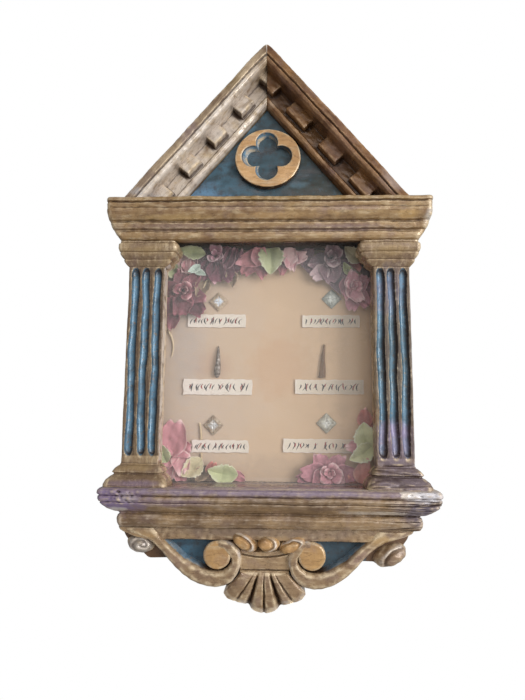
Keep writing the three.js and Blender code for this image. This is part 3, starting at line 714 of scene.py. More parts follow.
# %% rafters of the gable
GABLE_MIDDLE, GABLE_HALF = -1.8, 98.6
CORNICE_TOP = 111.5
SLOPE = math.radians(50)
RAKE_WIDTH = 25.8
NOSE = 2.2  # how far the blunt nose spreads to each side
CHANNEL_FLOOR, BLOCK_EDGE = 43.4, 18.9
# The paleness that thins out towards the tip is partly chalk and partly painted light.
CHALK_END, CHALK_FADE = 128, 12  # where the chalk thins out towards the tip, measured up the slope
rake_front = eased([  # how far inwards from the roof plane, and the depth
    [0, 53], [0, 59], [0.8, 60], [5.2, 60], [5.9, 58.4], [6.7, 59.2], [8.6, 58.8], [9.9, 57.2],
    [10.3, 55.4], [10.5, CHANNEL_FLOOR], [21.3, 43.6], [21.9, 45], [23.6, 44.8], [25.1, 43.4],
    [RAKE_WIDTH, 41], [RAKE_WIDTH, 36],
], 0.34, 0.34)
rake_top = np.stack([np.zeros(14), np.linspace(CASE_BACK, 53, 14, endpoint=False)], axis=1)
rake_soffit = np.stack([np.full(9, RAKE_WIDTH), np.linspace(36, CASE_BACK, 10)[1:]], axis=1)
inwards, rake_depth = np.concatenate([rake_top, rake_front, rake_soffit]).T
in_channel = (inwards > 10.2) & (inwards < 21.5) & (rake_depth < 56)


def gentle_step(value, edge, half):
    """0 before an edge and 1 after it, rising over twice the half width."""
    return np.clip((value - edge) / (2 * half) + 0.5, 0, 1)


def rafter(name, side, node, first, pitch, length, count, block_front, finish, pale, painted_channel_shade, seed):
    """x falls by the cosine and z rises by the sine of the slope; inwards counts square to it."""
    dice = np.random.default_rng(seed)
    starts = first + pitch * np.arange(count) - length / 2 + dice.uniform(-0.5, 0.5, count)
    stops = starts + length + dice.uniform(-0.6, 0.6, count)
    even = np.arange(0.2, GABLE_HALF / math.cos(SLOPE), 0.8)
    close = np.concatenate([starts, stops])[:, None] + [-1.0, -0.5, -0.2, 0.2, 0.5, 1.0, 1.6]
    along = np.unique(np.concatenate([even, close.ravel()]))[:, None]
    depth = rake_depth + 0 * along
    # Painted shade: the right rafter's channel is darkened as if its outer moulding kept the window
    # light off it.
    soot_and_shade = painted_channel_shade * in_channel + 0 * along
    for start, stop in zip(starts, stops):
        share = gentle_step(along, start, 0.25) * (1 - gentle_step(along, stop, 0.25))
        share = share * in_channel * (1 - gentle_step(inwards, BLOCK_EDGE, 0.3))
        margin = np.minimum(np.minimum(along - start, stop - along), BLOCK_EDGE - inwards)
        front = block_front - dice.uniform(0.0, 0.5) - 0.8 * np.exp(-np.clip(margin, 0, None) / 0.8)
        standing = CHANNEL_FLOOR + share * (front - CHANNEL_FLOOR)
        depth = np.where(share > 0, np.maximum(depth, standing), depth)
        soot_and_shade = soot_and_shade * (1 - 0.85 * share)
        # Painted shade: the lower end of each block, which faces away from the window light, is
        # darkened nearly to black.
        lower_end = np.exp(-((along - start + 1.0) / 1.6) ** 6 - ((inwards - 14.7) / 4.2) ** 6)
        soot_and_shade = np.maximum(soot_and_shade, 0.98 * lower_end * in_channel)
    # A thin dark line in the quirk beside the outer fascia: partly dirt, partly painted shade.
    quirk = np.exp(-((inwards - 5.8) / 0.35) ** 2) * (rake_depth > 55)
    soot_and_shade = np.maximum(soot_and_shade, 0.75 * quirk)
    foot = (0.3 + inwards * math.cos(SLOPE)) / math.sin(SLOPE)
    mitre = (GABLE_HALF - 0.15 - inwards * math.sin(SLOPE)) / math.cos(SLOPE)
    run = np.clip(along, foot, mitre)
    out = GABLE_HALF - run * math.cos(SLOPE) - inwards * math.sin(SLOPE)
    blunt = (np.hypot(out, NOSE) - out) * math.tan(SLOPE) * np.clip(1 - inwards / 12, 0, 1)
    x = GABLE_MIDDLE + side * out
    z = CORNICE_TOP + run * math.sin(SLOPE) - inwards * math.cos(SLOPE) - blunt
    shaped = placed(x, depth, z)
    moved = by_hand(shaped, 60 + side)
    held = np.minimum(np.abs(shaped[:, 0] - GABLE_MIDDLE), shaped[:, 2] - CORNICE_TOP)
    points = shaped + (moved - shaped) * np.clip((held - 0.2) / 3, 0, 1)[:, None]
    # On the left rafter the inner mouldings face the window light; their pale chalk is partly rubbed
    # wear and partly painted light.
    inner_part = gentle_step(inwards, 5.6, 0.5) + 0.4 * (np.abs(inwards - 7.8) < 1.6)
    below_tip = 1 - 0.8 * gentle_step(along, CHALK_END, CHALK_FADE)
    chalk_and_light_share = pale * inner_part * (rake_depth > 40) * below_tip
    return tube(name, points, x.shape, finish, stands_for=[node],
                values={"pale": chalk_and_light_share, "soot_and_shade": soot_and_shade})


# The left rafter's gold is paler, partly as painted light from the window; the right rafter's gold is
# darker and browner, partly as painted shade.
lit_left_rafter_finish = gilding("left_rafter_gilding_and_painted_light", (190, 168, 138), (112, 88, 66), stains=[
    (-84, 125, 14, 20, (120, 98, 84), 0.6),
    (-56, 160, 10, 16, VIOLET, 0.5),
    (-26, 196, 12, 14, (130, 108, 72), 0.6),
    (-10, 190, 7, 16, (136, 118, 80), 0.6),
    (-9, 183, 18, 26, (124, 100, 72), 0.75),
    (-86, 116, 14, 5, (176, 178, 186), 0.6),
], streaks=(0.1, 1.0, 1.0), slant=-SLOPE)
shaded_right_rafter_finish = gilding("right_rafter_gilding_and_painted_shade", (146, 106, 66), (94, 60, 34), stains=[
    (50, 150, 14, 22, (142, 104, 78), 0.6),
    (86, 124, 14, 14, (168, 146, 134), 0.6),
    (26, 200, 14, 12, (124, 98, 68), 0.5),
    (2, 190, 5, 5, (196, 168, 140), 0.7),
], rubbed=(186, 150, 112), streaks=(0.1, 1.0, 1.0), slant=SLOPE)
rafter("left_gilded_rafter", -1, "left_rake", first=20.8, pitch=29.8, length=14.0, count=5,
       block_front=50.0, finish=lit_left_rafter_finish, pale=0.75, painted_channel_shade=0.0, seed=63)
rafter("right_gilded_rafter", 1, "right_rake", first=29.5, pitch=35.0, length=19.2, count=4,
       block_front=49.4, finish=shaded_right_rafter_finish, pale=0.0, painted_channel_shade=0.5, seed=64)

# %% [markdown]
# The triangle between the rafters is a thin board, painted a dull teal with a broad brush. Its left
# foot is bluer, and its right side is darker and greyer. The paint keeps the board's own plain
# shape, so here only the finish is new.

# %% painted board
def brushed_paint(name, left_colour, right_colour, half, dust, stains=(), pockets=None):
    """Two paints that change over from left to right, with streaks, scuffs, dust and stains.
    Pockets give a middle line, the nearest and furthest paint from it, and the bare colour."""
    material, tree, skin = new_finish(name)
    across = own_x(tree)
    streak = mottle(tree, 6, 5.0, stretch=(0.35, 1.0, 1.0), shift=3.0)
    scuff = mottle(tree, 3.6, 5.0, shift=2.0)
    uneven = reckon(tree, "MULTIPLY_ADD", streak, 1.2 * half * MM, across)
    colour = laid(tree, left_colour, right_colour, uneven, 0.0, 1.2 * half * MM)
    colour = laid(tree, colour, dust, mottle(tree, 9, 6.0, shift=6.0), 0.44, 0.64, 0.85)
    colour = stained(tree, colour, stains, 31.0)
    colour = laid(tree, colour, left_colour, scuff, 0.56, 0.74, 0.5)
    if pockets is not None:
        middle, inner, outer, bare = pockets
        away = reckon(tree, "ABSOLUTE", reckon(tree, "SUBTRACT", across, middle * MM))
        colour = laid(tree, colour, bare, away, (inner + 1) * MM, (inner - 1) * MM)
        colour = laid(tree, colour, bare, away, (outer - 1) * MM, (outer + 1) * MM)
    colour = laid(tree, colour, GRIME_AND_SHADE, streak, 0.5, 0.3, 0.5)
    colour = laid(tree, colour, GRIME_AND_SHADE, scuff, 0.46, 0.3, 0.5)
    specks = mottle(tree, 1.2, 4.0, shift=1.0)
    colour = laid(tree, colour, GRIME_AND_SHADE, specks, 0.58, 0.7, 0.5)
    tree.links.new(colour, skin.inputs["Base Color"])
    tree.links.new(span(tree, streak, 0.2, 0.8, 0.85), skin.inputs["Roughness"])
    dimple(tree, skin, streak, 0.3, 0.5)
    return material


teal_paint = brushed_paint("teal_paint", (64, 98, 116), (42, 50, 46), half=60,
                           dust=(36, 52, 58), stains=[
    (-50, 119, 30, 16, (108, 146, 180), 0.6),
    (34, 122, 34, 16, (54, 60, 56), 0.8),
    (20, 130, 12, 4, (100, 128, 142), 0.4),
    (0, 113, 110, 2.4, (140, 148, 148), 0.6),
    (-18, 176, 10, 8, (96, 130, 150), 0.6),
])
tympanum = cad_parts["tympanum"]
tympanum.material_slots[0].material = teal_paint
print("painted:", tympanum.name)

# %% [markdown]
# The roundel is a disc, a little wider than tall, with a quatrefoil sawn through it off its middle.
# Seen from the middle of the hole, the hole's edge is the far side of whichever of four circles
# reaches furthest, so its radius is a function of the angle. A second parameter runs up the wall of
# the hole, over the face, down the rim and along the back. The wall is splayed, most of all on the
# left. The rim is darkened, partly as dirt in the joint and partly as painted shade; the right walls
# of the hole are darkened as painted shade, and its left walls are lightened as painted light.

# %% quatrefoil roundel
ROUNDEL_X, ROUNDEL_Z, ROUNDEL_WIDE, ROUNDEL_TALL = -0.9, 148.8, 23.9, 22.3
LOBE_X, LOBE_Z, LOBE_RADIUS, LOBE_OFFSET = -1.7, 150.2, 8.0, 10.2
ROUNDEL_BACK, ROUNDEL_EDGE, ROUNDEL_FACE = 38.3, 42.0, 43.0
WALL_ROWS, EASED_ROWS, FACE_ROWS = 6, 3, 22
SIDE_ROWS = WALL_ROWS + EASED_ROWS
angle = np.linspace(0, 2 * np.pi, 360, endpoint=False)
swing = angle[:, None] - np.arange(4) * np.pi / 2
chord = LOBE_RADIUS ** 2 - (LOBE_OFFSET * np.sin(swing)) ** 2
reach = LOBE_OFFSET * np.cos(swing) + np.sqrt(np.clip(chord, 0, None))
hole = np.where(chord > 0, reach, 0).max(axis=1)
plain = np.zeros(WALL_ROWS)
wall = np.linspace(ROUNDEL_BACK, ROUNDEL_EDGE, WALL_ROWS)
share = np.concatenate([np.zeros(SIDE_ROWS), np.linspace(0, 1, FACE_ROWS), np.ones(SIDE_ROWS)])
share = share[:, None]
ease = np.concatenate([plain, [0.1, 0.35, 0.8], np.linspace(1.2, -1.2, FACE_ROWS),
                       [-0.8, -0.35, -0.1], plain])[:, None]
depth = np.concatenate([wall, [42.5, 42.8, 42.95], np.full(FACE_ROWS, ROUNDEL_FACE),
                        [42.95, 42.75, 42.4], wall[::-1]])[:, None]
splay = np.zeros((len(depth), 1))
splay[:WALL_ROWS, 0] = np.linspace(1, 0, WALL_ROWS)
ease = ease - splay * (2.2 - 1.5 * np.cos(angle))
hole_x, rim_x = LOBE_X + hole * np.cos(angle), ROUNDEL_X + ROUNDEL_WIDE * np.cos(angle)
hole_z, rim_z = LOBE_Z + hole * np.sin(angle), ROUNDEL_Z + ROUNDEL_TALL * np.sin(angle)
x = (1 - share) * hole_x + share * rim_x + ease * np.cos(angle)
z = (1 - share) * hole_z + share * rim_z + ease * np.sin(angle)
in_hole = ((share < 0.01) & (depth < 42.6)) * np.ones(len(angle))
on_rim = ((share > 0.99) & (depth < 42.5)) * np.ones(len(angle))
# Painted shade on the rim, with dirt at its joint, and on the hole's right walls, which face away
# from the light; lit_wall is painted light on the left walls.
soot_and_shade = np.maximum(0.95 * on_rim, in_hole * np.clip(0.8 * np.cos(angle), 0, 1))
lit_wall = in_hole * np.clip(-0.3 * np.cos(angle), 0, 1)
roundel_gilding = gilding("roundel_gilding", (200, 158, 108), (172, 130, 84),
                          streaks=(0.14, 1.0, 1.0))
piece("gilded_roundel", by_hand(placed(x, depth, z), 71, 0.1, 0.05),
      squares(*x.shape, around=True, closed_rows=True), [roundel_gilding], "gilded_wood",
      ["quatrefoil_roundel"], values={"paint": in_hole, "soot_and_shade": soot_and_shade, "pale": lit_wall})

# %% [markdown]
# The apron under the sill is carved from a board. Its ground is a flat painted field, cut to a wavy
# outline. We walk the outline at even steps and carry it from the back of the board to the front.
# Only the two pockets beside the volutes took paint. The rest of the ground is dark brown, and the
# sawn edges are bare wood.

# %% apron ground
APRON_MIDDLE = -0.8
GROUND_FRONT = 41.0
ground_outline = np.array([  # the right half, from the middle of the top round to the foot
    [0, -110.3], [95, -110.3], [94, -116], [90, -121.4], [82, -127], [77, -131.4], [64, -131],
    [58, -132.5], [48, -139.5], [38, -144], [27, -144.5], [24, -149], [16, -152], [6, -157],
    [0, -158],
])


def bare_wood(name, light, dark):
    """Wood with upright grain: a mottle drawn out along the grain, and finer dark pores."""
    material, tree, skin = new_finish(name)
    drawn = (1.0, 1.0, 0.06)
    grain = mottle(tree, 5, 6.0, stretch=drawn)
    pores = mottle(tree, 1.2, 3.0, stretch=drawn, shift=4.0)
    colour = laid(tree, light, dark, grain, 0.3, 0.7)
    colour = laid(tree, colour, GRIME_AND_SHADE, pores, 0.58, 0.72, 0.6)
    colour = laid(tree, colour, dark, mottle(tree, 40, 4.0, shift=8.0), 0.45, 0.7, 0.5)
    tree.links.new(colour, skin.inputs["Base Color"])
    skin.inputs["Roughness"].default_value = 0.78
    dimple(tree, skin, grain, 0.3, 0.4)
    return material


def both_sides(half):
    """The half outline, then its mirror image backwards, as one closed line."""
    return np.concatenate([half, (half * [-1, 1])[-2:0:-1]])


case_wood = bare_wood("case_wood", (140, 112, 82), (96, 72, 50))
apron_paint = brushed_paint("apron_paint", (64, 98, 118), (52, 70, 80), half=90,
                            dust=(58, 74, 84), pockets=(APRON_MIDDLE, 14, 66, (104, 76, 52)))
edge = both_sides(eased(ground_outline, 1.5, 1.5))
depths = np.array([20.0, 30.0, 40.6, GROUND_FRONT])[:, None]
points = placed(APRON_MIDDLE + edge[:, 0], depths, edge[:, 1])
walls = squares(len(depths), len(edge), around=True)
lids = both_ends(len(depths), len(edge))
piece("apron_ground", points, walls, [apron_paint, case_wood], "gilded_wood", ["apron"], caps=lids,
      finish_of=np.concatenate([np.ones(len(walls)), [1, 0]]))

# %% [markdown]
# A plain gilded strip runs along the top of the apron, under the sill. It is a shallow plank with
# its lower corners cut away, so rings serve for it too. The same finish then goes on all of the
# carving: it has pale rubbed places on the rims beside the volutes and on the left bud.

# %% strip under the sill
apron_gilding = gilding("apron_gilding", (170, 142, 108), (128, 102, 78), stains=[
    (-83, -123, 12, 8, (176, 170, 162), 0.7),
    (-60, -132, 14, 9, (150, 124, 112), 0.5),
    (62, -128, 14, 9, (146, 120, 116), 0.5),
    (90, -120, 12, 12, (170, 152, 142), 0.5),
    (-78, -114, 12, 5, (184, 150, 104), 0.6),
    (4, -112.5, 120, 5, (126, 108, 94), 0.6),
    (74, -116, 12, 5, (190, 156, 106), 0.6),
])
z, front, half = eased([  # height, depth of the front and half the length
    [-118, 47.4, 76], [-117.4, 48.8, 79], [-116, 49, 85], [-114.4, 49, 90], [-112, 49, 95],
    [-110.4, 49, 96],
], 0.4, 0.6).T
x, depth = rings(z, APRON_MIDDLE - half, APRON_MIDDLE + half, 21.0, front, 1.2, (200, 8, 4))
tube("apron_strip", by_hand(placed(x, depth, z[:, None]), 81), x.shape, apron_gilding)

# %% [markdown]
# Each scroll is a band that flares out under the strip, dips, and climbs round its eye until it
# runs in under it. Its two edges are noted as pairs of points, outer and inner, and the band is
# ruled between them. Across the band a rounded section is carried along. Its inner wall slopes into
# the painted pocket and took some of the blue, and its outer rim is rubbed white by the neck.

# %% scrolls
scroll_pairs = np.array([  # from the middle and up, for the outer and then the inner edge
    [95, -111.0, 70.0, -111.0], [90, -114.4, 69.6, -112.0], [84, -116.2, 69, -113.2],
    [78, -117.8, 68.2, -115], [72.4, -121.2, 67, -117], [67.2, -125.8, 63.6, -120],
    [63, -130.3, 58, -124.7], [58.8, -134.8, 52, -129.8], [53.8, -139.3, 48.6, -131.4],
    [48.8, -142.9, 45, -133.4], [43.2, -145.7, 40.4, -135.8], [37.6, -147.3, 36.2, -137.0],
    [32, -147.9, 31.2, -137.4], [26.2, -146.9, 27.2, -136.7], [21.2, -144.3, 23.6, -134.2],
    [17.4, -139.8, 21.4, -130.8], [15.2, -134, 21.8, -127.8], [14.6, -128.6, 24.6, -126.0],
    [16, -123.6, 26.6, -125.0], [19.4, -119.8, 28.2, -123.4], [24.4, -117.9, 29.6, -122.8],
    [29, -117.6, 30.6, -122.6], [33.2, -119.0, 31.6, -122.8], [36.6, -121.6, 32.4, -123.6],
])
band_section = [
    [0, 22], [0, 45.5], [0.6, 48.4], [2.2, 50], [7.8, 50], [9.4, 48.6], [10, 46.5], [10, 22],
]
across, band_depth = eased(band_section, 0.7, 1.0).T
across = np.clip(across / 10, 0, 1)


def scroll(name, side, seed):
    """A point is a share of the way from the outer to the inner edge; the section gives depth."""
    pairs = eased(scroll_pairs, 0.8, 1.6)
    outer_u, outer_z, inner_u, inner_z = (column[:, None] for column in pairs.T)
    width = np.hypot(inner_u - outer_u, inner_z - outer_z)
    run = np.linspace(0, 1, len(width))[:, None]
    open_pocket = np.clip((run - 0.1) / 0.1, 0, 1) * np.clip((0.66 - run) / 0.12, 0, 1)
    slope = 1.2 * open_pocket * (across > 0.9) * np.clip((48 - band_depth) / 7, 0, 1)
    share = across + slope / width
    u = outer_u + share * (inner_u - outer_u)
    z = outer_z + share * (inner_z - outer_z)
    depth = band_depth - 0.9 * np.clip((run - 0.93) / 0.05, 0, 1) * (band_depth > 45)
    wall = (across > 0.93) & (band_depth < 47.5)
    on_wall = wall * np.clip((0.52 - run) / 0.06, 0, 1)
    # Painted shade: the inner wall darkens where the band runs into the gap under its eye.
    gap_shade = wall * np.clip((run - 0.46) / 0.06, 0, 1)
    outer_rim = np.exp(-((across - 0.1) / 0.09) ** 2) * (band_depth > 46)
    pale = np.maximum(outer_rim * np.clip((run - 0.6) / 0.1, 0, 1), 0.2 * on_wall)
    points = by_hand(placed(APRON_MIDDLE + side * u, depth, z), seed)
    return tube(name, points, u.shape, apron_gilding,
                values={"paint": on_wall, "soot_and_shade": 0.9 * gap_shade, "pale": pale})


scroll("left_scroll", -1, 91)
scroll("right_scroll", 1, 95)

# %% [markdown]
# The eye of a volute is a low button, carved flush with the band that runs into it. A lathe profile
# turned about the eye's axis gives it: the angle is one parameter and the walk along the profile is
# the other. Its face is level with the band, so that the two run together on the neck's side. Its
# gold is warmer and cleaner than the rest, and its wall has blue paint from the pocket.

# %% eyes of the volutes
EYE_U, EYE_Z = 30.7, -127.0
EYE_SIDES = 72
eye_radius, eye_depth = eased([  # from the axis, and the depth
    [9.0, 38], [9.0, 48.2], [8.7, 49.4], [8.0, 49.95], [7.4, 50.1], [0.02, 50.15],
], 0.35, 0.35).T
eye_gilding = gilding("eye_gilding", (200, 160, 108), (166, 128, 84), streaks=(0.16, 1.0, 1.0))


def turned_button(name, side, seed):
    """Radius and depth from the profile, turned round the eye's axis."""
    turn = np.linspace(0, 2 * np.pi, EYE_SIDES, endpoint=False)
    u = eye_radius[:, None] * np.cos(turn)
    z = EYE_Z + eye_radius[:, None] * np.sin(turn)
    depth = eye_depth[:, None]
    wall = (eye_depth < 48.6)[:, None]
    # The part of the wall that took no blue paint is darkened as painted shade in the gap round the
    # eye.
    on_wall = wall * np.clip(np.cos(turn - 0.6) + 0.2, 0, 1)
    points = placed(APRON_MIDDLE + side * (EYE_U + u), depth, z)
    return tube(name, by_hand(points, seed, 0.1, 0.05), u.shape, eye_gilding,
                values={"paint": on_wall, "pale": 0.3 * on_wall, "soot_and_shade": 0.9 * (wall - on_wall)})


turned_button("left_eye", -1, 101)
turned_button("right_eye", 1, 105)

# %% [markdown]
# Between the volutes a short neck with two scored lines joins the scrolls to a drooping shell. The
# upper line sags, as a line cut by eye does. The shell is ruled from a straight top edge down to
# its curved rim, and grooves between its ribs fan out on the way. Two of them are deep and dark.

# %% neck and shell
NECK_HALF = 16.0
z, front = eased([  # height, and depth of the front
    [-138.4, 46.5], [-137.2, 46.5], [-137.0, 44.8], [-136.2, 44.8], [-136.0, 46.5], [-128.3, 46.5],
    [-128.0, 44.8], [-127.2, 44.8], [-126.9, 46.8], [-124.6, 46.6],
], 0.3, 0.3).T
left, right = APRON_MIDDLE - NECK_HALF, APRON_MIDDLE + NECK_HALF
x, depth = rings(z, left, right, 23.0, front, 1.0, (60, 6, 4))
u = (x - APRON_MIDDLE) / NECK_HALF
sag = (-0.9 + 0.4 * u + 2.2 * u ** 2) * np.clip((z[:, None] + 134) / 6, 0, 1)
tube("apron_neck", by_hand(placed(x, depth, z[:, None] + sag), 111), x.shape, apron_gilding)

SHELL_TOP, SHELL_TOP_HALF, SHELL_BACK = -137.4, 14.8, 26.0
half_rim = eased([  # from the middle and up, from the top corner down to the foot
    [SHELL_TOP_HALF, SHELL_TOP], [18.8, -142], [24, -146.5], [26.6, -150.6], [24, -154.2],
    [18.4, -156.4], [13.2, -157.2], [10.2, -159], [6, -161.6], [0, -162.9],
], 0.5, 1.2)
rim = np.concatenate([half_rim, (half_rim * [-1, 1])[-2::-1]])
lip = np.linspace(SHELL_TOP_HALF, -SHELL_TOP_HALF, len(rim))
groove = np.zeros(len(rim))
for foot, wide, deep in [(0, 0.9, 0.7), (10.6, 1.6, 1.2), (18.8, 1.0, 0.35)]:
    cut = deep * np.exp(-((np.abs(rim[:, 0]) - foot) / wide) ** 2)
    groove = np.maximum(groove, cut * (rim[:, 1] < -152))
down = np.linspace(0, 1, 40)[:, None]
u = lip + down * (rim[:, 0] - lip)
z = SHELL_TOP + down * (rim[:, 1] - SHELL_TOP)
belly = np.sin(np.pi * np.clip(down * 0.94 + 0.1, 0, 1)) ** 0.6
depth = 46.4 + 3.1 * belly - 3.6 * groove * np.clip(down * 3, 0, 1)
# The two deep grooves are darkened as painted shade.
soot_and_shade = np.clip(groove - 0.25, 0, 0.85) * np.clip(down * 4, 0, 1)
back = np.full((1, len(rim)), SHELL_BACK)
u, z, soot_and_shade = (np.vstack([grid[:1], grid, grid[-1:]]) for grid in (u, z, soot_and_shade))
depth = np.vstack([back, depth, back])
near_rim = np.clip((np.linspace(0, 1, len(u)) - 0.84) / 0.1, 0, 1)[:, None]
edge_rub = near_rim * (depth > 40) * (1 - soot_and_shade)
piece("apron_shell", by_hand(placed(APRON_MIDDLE + u, depth, z), 115),
      squares(*u.shape, closed_rows=True), [apron_gilding], "gilded_wood", rounds=5,
      values={"soot_and_shade": soot_and_shade, "pale": 0.7 * edge_rub})

# %% [markdown]
# Buds, two leaflets and a small heart fill the corners. All are carved mounds on an oval plan: a
# share of the way out is one parameter and the turn is the other. The height is a half ellipse, and
# a ring-shaped cut round a point off the middle turns a mound into a curl or a petal with a raised
# edge. Each line below notes the place of a mound, half its length and half its height, how far it
# stands out, and its tilt; then the ring.

# %% buds and leaflets
MOUND_ROWS, MOUND_SIDES = 36, 84
MOUND_BACK = 34.5
petal_gilding = gilding("petal_gilding", (204, 162, 106), (168, 128, 84))
bud_gilding = gilding("bud_gilding", (176, 166, 154), (118, 100, 84))


def mound(name, u, z, half_long, half_tall, rise, tilt, ring, middle, cut, finish, seed,
          facing=None, full=2.6, twist=0):
    """Depth: the ground plus the rise times the half ellipse, less a cut along a ring or a spiral.
    A ring can be cut on its facing side only. With a twist its radius grows so much each turn."""
    share = np.concatenate([np.linspace(0.01, 1, MOUND_ROWS), [1.0]])[:, None]
    turn = np.linspace(0, 2 * np.pi, MOUND_SIDES, endpoint=False)
    a, b = share * np.cos(turn), share * np.sin(turn)
    away = np.hypot(a - middle[0], b - middle[1])
    heading = np.arctan2(b - middle[1], a - middle[0])
    beside = away - ring
    if twist:
        beside = (beside - twist * heading / (2 * np.pi) + twist / 2) % twist - twist / 2
    ringed = np.exp(-(beside / 0.12) ** 2) * np.clip((1 - share) / 0.15, 0, 1)
    if facing is not None:
        ringed *= np.clip(1.3 * np.cos(heading - facing) - 0.15, 0, 1)
    depth = GROUND_FRONT + rise * np.sqrt(np.clip(1 - share ** full, 0, None)) - cut * ringed
    depth[-1] = MOUND_BACK
    x = APRON_MIDDLE + u + half_long * a * math.cos(tilt) - half_tall * b * math.sin(tilt)
    z = z + half_long * a * math.sin(tilt) + half_tall * b * math.cos(tilt)
    outside = np.exp(-((beside - 0.2) / 0.13) ** 2) * (share < 0.97)
    # The ring cut is darkened a little as painted shade.
    return tube(name, by_hand(placed(x, depth, z), seed, 0.3, 0.25), x.shape, finish, rounds=4,
                values={"pale": outside, "soot_and_shade": 0.25 * ringed})


mound("left_bud", -82.4, -121.9, 9.4, 5.9, 7.5, -0.15, ring=0.3, middle=(0.15, 0.0), cut=1.0,
      finish=bud_gilding, seed=121, twist=0.62)
mound("right_bud", 81.8, -126.6, 11.2, 6.6, 8.0, 0.35, ring=0.9, middle=(0.4, -0.5), cut=1.8,
      finish=apron_gilding, seed=125, facing=2.2)
for name, u, z, half_long, half_tall, rise, tilt, middle, seed in [
        ("left_leaflet", -13.2, -118.6, 9.4, 5.2, 12.0, -0.5, (-0.2, -0.2), 131),
        ("right_leaflet", 18.0, -120.2, 10.2, 4.7, 11.6, 0.42, (-0.25, -0.15), 135),
        ("apron_heart", 2.6, -119.7, 7.8, 5.5, 12.4, 0.0, (-0.3, 0.0), 141)]:
    mound(name, u, z, half_long, half_tall, rise, tilt, ring=0.7, middle=middle, cut=1.5,
          finish=petal_gilding, seed=seed, full=5)

# %% [markdown]
# The plain carcass stays as it was measured: a back board and two sides of straight-grained
# softwood. Nobody was meant to look at them closely, so they get bare wood and nothing more.

# %% carcass
for node in ("back_board", "left_side", "right_side"):
    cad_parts[node].material_slots[0].material = case_wood
print("bare wood on the back and the sides")

# %% [markdown]
# Inside, a thin board is covered with beige paper. The paper has faded unevenly, pinkish on the
# left and yellower on the right, and it has cockled. On the right it is also made lighter, as
# painted light against the shade of the case's right side. A slab is a grid of front points whose
# outermost ring is folded straight back; a height over the grid gives the cockles.

# %% papered board
ROOM_FOOT, ROOM_TOP = -84.2, 88.7
BOARD_HALF, BOARD_BACK, BOARD_FRONT = 77.8, 8.3, 14.0


def slab(x, z, depth, back):
    """Grids of front points; a ring with the same x and z lies at the back, and a cap shuts it."""
    x, z = np.pad(x, 1, mode="edge"), np.pad(z, 1, mode="edge")
    depth = np.pad(depth, 1, constant_values=back)
    rows, columns = x.shape
    number = np.arange(rows * columns).reshape(rows, columns)
    rim = np.concatenate([number[0, :-1], number[:-1, -1], number[-1, :0:-1], number[:0:-1, 0]])
    return placed(x, depth, z), squares(rows, columns), [rim]


x, z = np.meshgrid(np.linspace(-BOARD_HALF, BOARD_HALF, 150), np.linspace(ROOM_FOOT, ROOM_TOP, 166))
flat = placed(x, 0.0, z)
cockle = (0.16 * waves(flat, 42, 201) + 0.07 * waves(flat, 13, 202)).reshape(x.shape)
depth = BOARD_FRONT - 0.2 + cockle


def old_paper(name, left_colour, middle_colour, right_colour, half, stains=()):
    """Paper whose colour drifts from left to right, with fine fibres and a few specks."""
    material, tree, skin = new_finish(name)
    across = own_x(tree)
    cloud = mottle(tree, 35, 5.0, shift=2.0)
    drift = reckon(tree, "MULTIPLY_ADD", cloud, half * MM, across)
    first, second, third = (share * half * MM for share in (-0.3, 0.55, 1.35))
    colour = laid(tree, left_colour, middle_colour, drift, first, second)
    colour = laid(tree, colour, right_colour, drift, second, third)
    colour = stained(tree, colour, stains, 71.0)
    fibre = mottle(tree, 1.4, 5.0, stretch=(0.4, 1.0, 1.0), shift=5.0)
    colour = laid(tree, colour, right_colour, fibre, 0.5, 0.72, 0.4)
    specks = mottle(tree, 3.2, 2.0, shift=7.0)
    colour = laid(tree, colour, GRIME_AND_SHADE, specks, 0.74, 0.8, 0.6)
    colour = laid(tree, colour, left_colour, felt(tree, "relief"), 0.25, 0.8, 0.4)
    tree.links.new(colour, skin.inputs["Base Color"])
    skin.inputs["Roughness"].default_value = 0.85
    dimple(tree, skin, fibre, 0.2, 0.4)
    return material


lining = old_paper("lining_paper", (208, 186, 166), (212, 182, 150), (214, 180, 144), half=78,
                   stains=[
    (8, 0, 34, 40, (206, 166, 130), 0.6),
    # Painted light: a broad pale patch on the right lifts the shade of the case's right side.
    (60, 0, 34, 80, (236, 200, 160), 0.75),
    (-44, 0, 24, 18, (196, 158, 134), 0.45),
    (10, -76, 60, 16, (190, 164, 138), 0.6),
    (-62, 10, 18, 50, (192, 176, 166), 0.6),
])
points, faces, lids = slab(x, z, depth, BOARD_BACK)
piece("papered_board", points, faces, [lining], "lining_paper", ["relic_board"], caps=lids)

# %% [markdown]
# Six strips of cream paper name the relics. Each is a thin slab with slightly lifted ends. Their
# writing is kept as rows of slanted pen strokes: a stroke is a flat little spindle that widens and
# thins again along a bent line. A few strokes are red.

# %% strips and pen strokes
STRIP_BACK, STRIP_FRONT = 14.3, 14.8
STROKE_STEPS, STROKE_SIDES, STROKE_HALF = 15, 8, 0.52
strip_paper = old_paper("strip_paper", (242, 230, 220), (234, 222, 204), (216, 196, 172), half=90)
strip_places = [  # x and z of the middle, width and height
    (-39.0, 33.5, 43.6, 9.8), (46.4, 33.3, 42.4, 9.2), (-37.4, -16.2, 51.0, 11.4),
    (44.8, -15.7, 50.0, 10.4), (-34.6, -59.4, 41.4, 8.8), (36.6, -58.4, 51.0, 9.8),
]


def ink(name, colour):
    """Iron ink: dark where the pen pressed and thin and brown where it ran dry."""
    material, tree, skin = new_finish(name)
    dry = mottle(tree, 2.2, 4.0, shift=6.0)
    mixed = laid(tree, colour, (120, 104, 92), dry, 0.4, 0.7, 0.6)
    tree.links.new(mixed, skin.inputs["Base Color"])
    skin.inputs["Roughness"].default_value = 0.7
    return material


dark_ink = ink("dark_ink", (44, 44, 52))
red_ink = ink("red_ink", (164, 62, 56))


